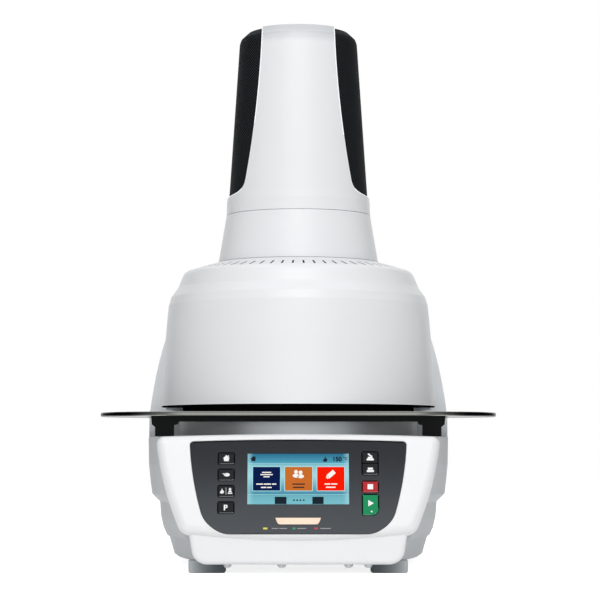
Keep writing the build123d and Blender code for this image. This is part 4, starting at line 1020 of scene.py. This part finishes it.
@dataclass
class HeadTrim:
    """Fine pieces on the head: painted shade in the vents, the cover's edge bead with its painted highlight,
    rim gasket and the neck joint's painted shade.
    """

    palette: Palette
    vent_count: int = 64
    vent_radius_mm: float = 108.0  # from the head's axis to a vent's middle
    vent_mm: Triple = (13.9, 1.8, 0.8)  # length, width and depth of the painted shade in a vent
    vent_sink_mm: float = 0.46  # the painted shade's middle lies this far below the shoulder
    shoulder_mm: Pair = (86.2, 316.1)  # radius and height of the shoulder's inner edge
    shoulder_fall: float = 0.2987  # for each millimetre outwards
    bead_mm: float = 0.45  # half of the bead's thickness
    bead_sides: int = 6
    bead_overlap_mm: float = 0.2  # between one length of the bead and the next
    merge_mm: float = 0.02  # corners of the cover closer than this are one
    shortest_mm: float = 0.05  # edges shorter than this get no bead
    cut_angle: float = 0.9  # least turn between the two faces of a cut edge, in radians
    outward: float = 0.5  # how far one of them faces away from the axis, 1 being fully
    window_x_mm: Pair = (36.0, 75.0)  # where the cover's cut edges lie, to each side
    window_z_mm: Pair = (385.0, 560.0)
    bead_top_mm: float = 561.0  # the bead stays below the cover's top
    gasket_deg: float = 190.0
    gasket: tuple[Pair, ...] = ((138.4, 164.4), (143.0, 164.4), (143.4, 165.4), (138.4, 165.4))
    joint: tuple[Pair, ...] = ((84.2, 316.0), (85.7, 316.0), (85.5, 316.7), (84.2, 316.7))

    def vent_shade(self) -> None:
        """Lay a black strip of painted shade in every vent, just under the shoulder's surface."""
        inner, height = self.shoulder_mm
        z = height - self.shoulder_fall * (self.vent_radius_mm - inner) - self.vent_sink_mm
        lean = Matrix.Rotation(math.atan(self.shoulder_fall), 4, "Y")
        strip = (Matrix.Translation((self.vent_radius_mm * MM, 0, z * MM)) @ lean
                 @ Matrix.Diagonal((*(size * MM for size in self.vent_mm), 1)))
        mesh = bmesh.new()
        for i in range(self.vent_count):
            turn = Matrix.Rotation(math.tau * (i + 0.5) / self.vent_count, 4, "Z")
            bmesh.ops.create_cube(mesh, size=1.0, matrix=Matrix.Translation((0, HEAD_Y, 0)) @ turn @ strip)
        finish_piece(mesh, "vent_shade_strips", self.palette.of(Finishes.GAP), "head")

    def is_cut(self, edge: bmesh.types.BMEdge) -> bool:
        """Tell whether an edge is one that the cover's side windows leave on its outside.

        Args:
            edge: Edge of the cover's merged mesh.

        Returns:
            True on the windows' outer edges, up to the cover's top.
        """
        a, b = (vert.co for vert in edge.verts)
        middle = (a + b) / 2
        if len(edge.link_faces) != 2 or edge.calc_face_angle() <= self.cut_angle:
            return False
        out = Vector((middle.x, middle.y - HEAD_Y, 0)).normalized()
        (near, far), (low, high) = self.window_x_mm, self.window_z_mm
        return (max(face.normal.dot(out) for face in edge.link_faces) > self.outward
                and low * MM < middle.z < high * MM and near * MM < abs(middle.x) < far * MM
                and max(a.z, b.z) < self.bead_top_mm * MM and edge.calc_length() > self.shortest_mm * MM)

    def cover_bead(self) -> None:
        """Run a fine bead along the cut edges of the tower's cover, which glows as a painted highlight."""
        cover = bmesh.new()
        cover.from_mesh(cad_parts["tower_cover"].data)
        bmesh.ops.remove_doubles(cover, verts=cover.verts, dist=self.merge_mm * MM)
        bead = bmesh.new()
        for edge in filter(self.is_cut, cover.edges):
            a, b = (vert.co for vert in edge.verts)
            spot = Matrix.Translation((a + b) / 2) @ (b - a).to_track_quat("Z", "Y").to_matrix().to_4x4()
            bmesh.ops.create_cone(bead, cap_ends=True, segments=self.bead_sides, radius1=self.bead_mm * MM,
                                  radius2=self.bead_mm * MM, depth=(b - a).length + self.bead_overlap_mm * MM,
                                  matrix=spot)
        cover.free()
        finish_piece(bead, "tower_cover_edge_highlight", self.palette.of(Finishes.EDGE_HIGHLIGHT), "head")

    def build(self) -> None:
        """Build every fine piece of the head."""
        self.vent_shade()
        self.cover_bead()
        turned_piece("head_rim_gasket", self.gasket, self.palette.of(Finishes.SCALED), self.gasket_deg)
        # the joint line is painted shade of the seam
        turned_piece("neck_joint_line", self.joint, self.palette.of(Finishes.JOINT))


# ---- studio
@dataclass(frozen=True)
class SoftBox:
    """A soft lamp: its place and target, its width and height, all in metres, and its power."""

    name: str
    place: Triple
    target: Triple
    size: Pair
    watts: float
    mirrored: bool = True  # whether glossy surfaces show it

    def hang(self) -> None:
        """Hang the lamp."""
        data = bpy.data.lights.new(self.name, "AREA")
        data.shape = "RECTANGLE"
        data.size, data.size_y = self.size
        data.energy = self.watts
        lamp = bpy.data.objects.new(self.name, data)
        lamp.visible_glossy = self.mirrored
        lamp.location = self.place
        lamp.rotation_euler = (Vector(self.target) - Vector(self.place)).to_track_quat("-Z", "Y").to_euler()
        bpy.context.scene.collection.objects.link(lamp)


@dataclass
class Studio:
    """Pale floor, soft lights, white surroundings and the camera."""

    palette: Palette
    lens_mm: float = 135.24
    sensor_mm: float = 36.0
    camera_mm: Triple = (1.75, -2395.0, 117.2)
    pitch_deg: float = 3.869
    front_level: float = 0.74  # light from the pale room in front of the object
    rear_level: float = 0.22  # and from behind it
    fade: Pair = (-0.35, 0.5)  # how far to the rear the room turns from the one to the other
    floor_half: float = 6.0  # in metres
    floor_colour: str = "#f4f4f4"
    floor_lift: float = 0.8  # light that the floor adds for the eye alone, to reach white
    fibre_mm: float = 4.0
    lamps: tuple[SoftBox, ...] = (
        SoftBox("key_box", (0.0, -2.1, 2.0), (0, 0, 0.3), (1.3, 1.0), 19.0),
        SoftBox("front_fill", (0.0, -3.0, 0.1), (0, 0, 0.2), (2.4, 0.9), 13.0, mirrored=False),
        SoftBox("top_box", (0.0, 0.3, 2.4), (0, 0, 0.2), (1.6, 1.2), 6.0))
    flag_middle: Triple = (0.95, -0.6, 0.75)  # of the card on the right; the other mirrors it
    flag_size: Pair = (1.5, 3.6)  # height and depth of a card

    def seen_directly(self, tree: Tree) -> Socket:
        """Find the rays that show the surroundings: to the eye, in metal and through glass.

        Args:
            tree: Node tree that gets the nodes.

        Returns:
            1 for such a ray and 0 for any other.
        """
        rays = add(tree, "ShaderNodeLightPath")
        direct = rays.outputs["Is Camera Ray"]
        for other in ("Is Glossy Ray", "Is Transmission Ray"):
            either = add(tree, "ShaderNodeMath", {0: direct, 1: rays.outputs[other]}, operation="MAXIMUM")
            direct = either.outputs[0]
        return direct

    def surroundings(self) -> None:
        """Make the world white to the eye, and light the object from it, mostly from the front."""
        world = bpy.data.worlds.new("white_studio")
        bpy.context.scene.world = world
        world.use_nodes = True
        tree = world.node_tree
        tree.nodes.clear()
        toward = add(tree, "ShaderNodeTexCoord").outputs["Generated"]
        axes = add(tree, "ShaderNodeSeparateXYZ", {"Vector": toward})
        room = add(tree, "ShaderNodeMapRange", {
            "Value": axes.outputs["Y"], "From Min": self.fade[0], "From Max": self.fade[1],
            "To Min": self.front_level, "To Max": self.rear_level}, interpolation_type="SMOOTHSTEP")
        level = add(tree, "ShaderNodeMath", {0: self.seen_directly(tree), 1: room.outputs["Result"]},
                    operation="MAXIMUM")
        sky = add(tree, "ShaderNodeBackground", {"Color": WHITE, "Strength": level.outputs[0]})
        add(tree, "ShaderNodeOutputWorld", {"Surface": sky.outputs["Background"]})

    def paper(self) -> bpy.types.Material:
        """Build the floor's pale paper.

        Returns:
            A matt material that is white to the eye and still takes shadows.
        """
        made = bpy.data.materials.new("pale_floor_paper")
        made.use_nodes = True
        tree = made.node_tree
        tree.nodes.clear()
        place = add(tree, "ShaderNodeTexCoord").outputs["Object"]
        fibres = add(tree, "ShaderNodeTexNoise", {"Vector": place, "Scale": scale_for(self.fibre_mm)})
        base = linear(self.floor_colour)
        tone = add(tree, "ShaderNodeMix", {0: fibres.outputs["Fac"], 6: base, 7: shade(base, 0.98)},
                   data_type="RGBA")
        lift = add(tree, "ShaderNodeMath", {0: self.seen_directly(tree), 1: self.floor_lift},
                   operation="MULTIPLY")
        shader = add(tree, "ShaderNodeBsdfPrincipled", {
            "Base Color": tone.outputs[2], "Roughness": 0.9, "Specular IOR Level": 0.1,
            "Emission Color": WHITE, "Emission Strength": lift.outputs[0]})
        add(tree, "ShaderNodeOutputMaterial", {"Surface": shader.outputs["BSDF"]})
        return made

    def floor(self) -> None:
        """Lay the pale floor, which keeps the object's shadow."""
        mesh = bmesh.new()
        bmesh.ops.create_grid(mesh, x_segments=1, y_segments=1, size=self.floor_half)
        ground = link_mesh(mesh, "studio_floor", self.paper())

    def flags(self) -> None:
        """Stand a dark card on each side, which only metal and enamel mirror, at their edges."""
        aside, behind, up = self.flag_middle
        for name, x in (("studio_flag_left", -aside), ("studio_flag_right", aside)):
            mesh = bmesh.new()
            bmesh.ops.create_grid(mesh, x_segments=1, y_segments=1, size=0.5, matrix=(
                Matrix.Translation((x, behind, up)) @ Matrix.Rotation(math.radians(90), 4, "Y")
                @ Matrix.Diagonal((*self.flag_size, 1, 1))))
            card = link_mesh(mesh, name, self.palette.of(Finishes.CARD))
            card.visible_camera = card.visible_diffuse = card.visible_shadow = False

    def camera(self) -> None:
        """Set the camera at the front, a little below the head."""
        data = bpy.data.cameras.new("front_camera")
        data.lens = self.lens_mm
        data.sensor_width = self.sensor_mm
        camera = bpy.data.objects.new("front_camera", data)
        camera.location = Vector(self.camera_mm) * MM
        camera.rotation_euler = (math.radians(90 + self.pitch_deg), 0, 0)
        bpy.context.scene.collection.objects.link(camera)
        bpy.context.scene.camera = camera

    def build(self) -> None:
        """Set up the whole studio."""
        self.surroundings()
        self.floor()
        for lamp in self.lamps:
            lamp.hang()
        self.flags()
        self.camera()
        bpy.context.scene.view_settings.view_transform = "Standard"


def main() -> None:
    """Dress the furnace piece by piece."""
    logging.basicConfig(level=logging.INFO, format="%(name)s: %(message)s")
    palette = Palette()
    dress_nodes(palette)
    HeadTrim(palette).build()
    ControlPanel(palette).build()
    Studio(palette).build()


if __name__ == "__main__":
    main()
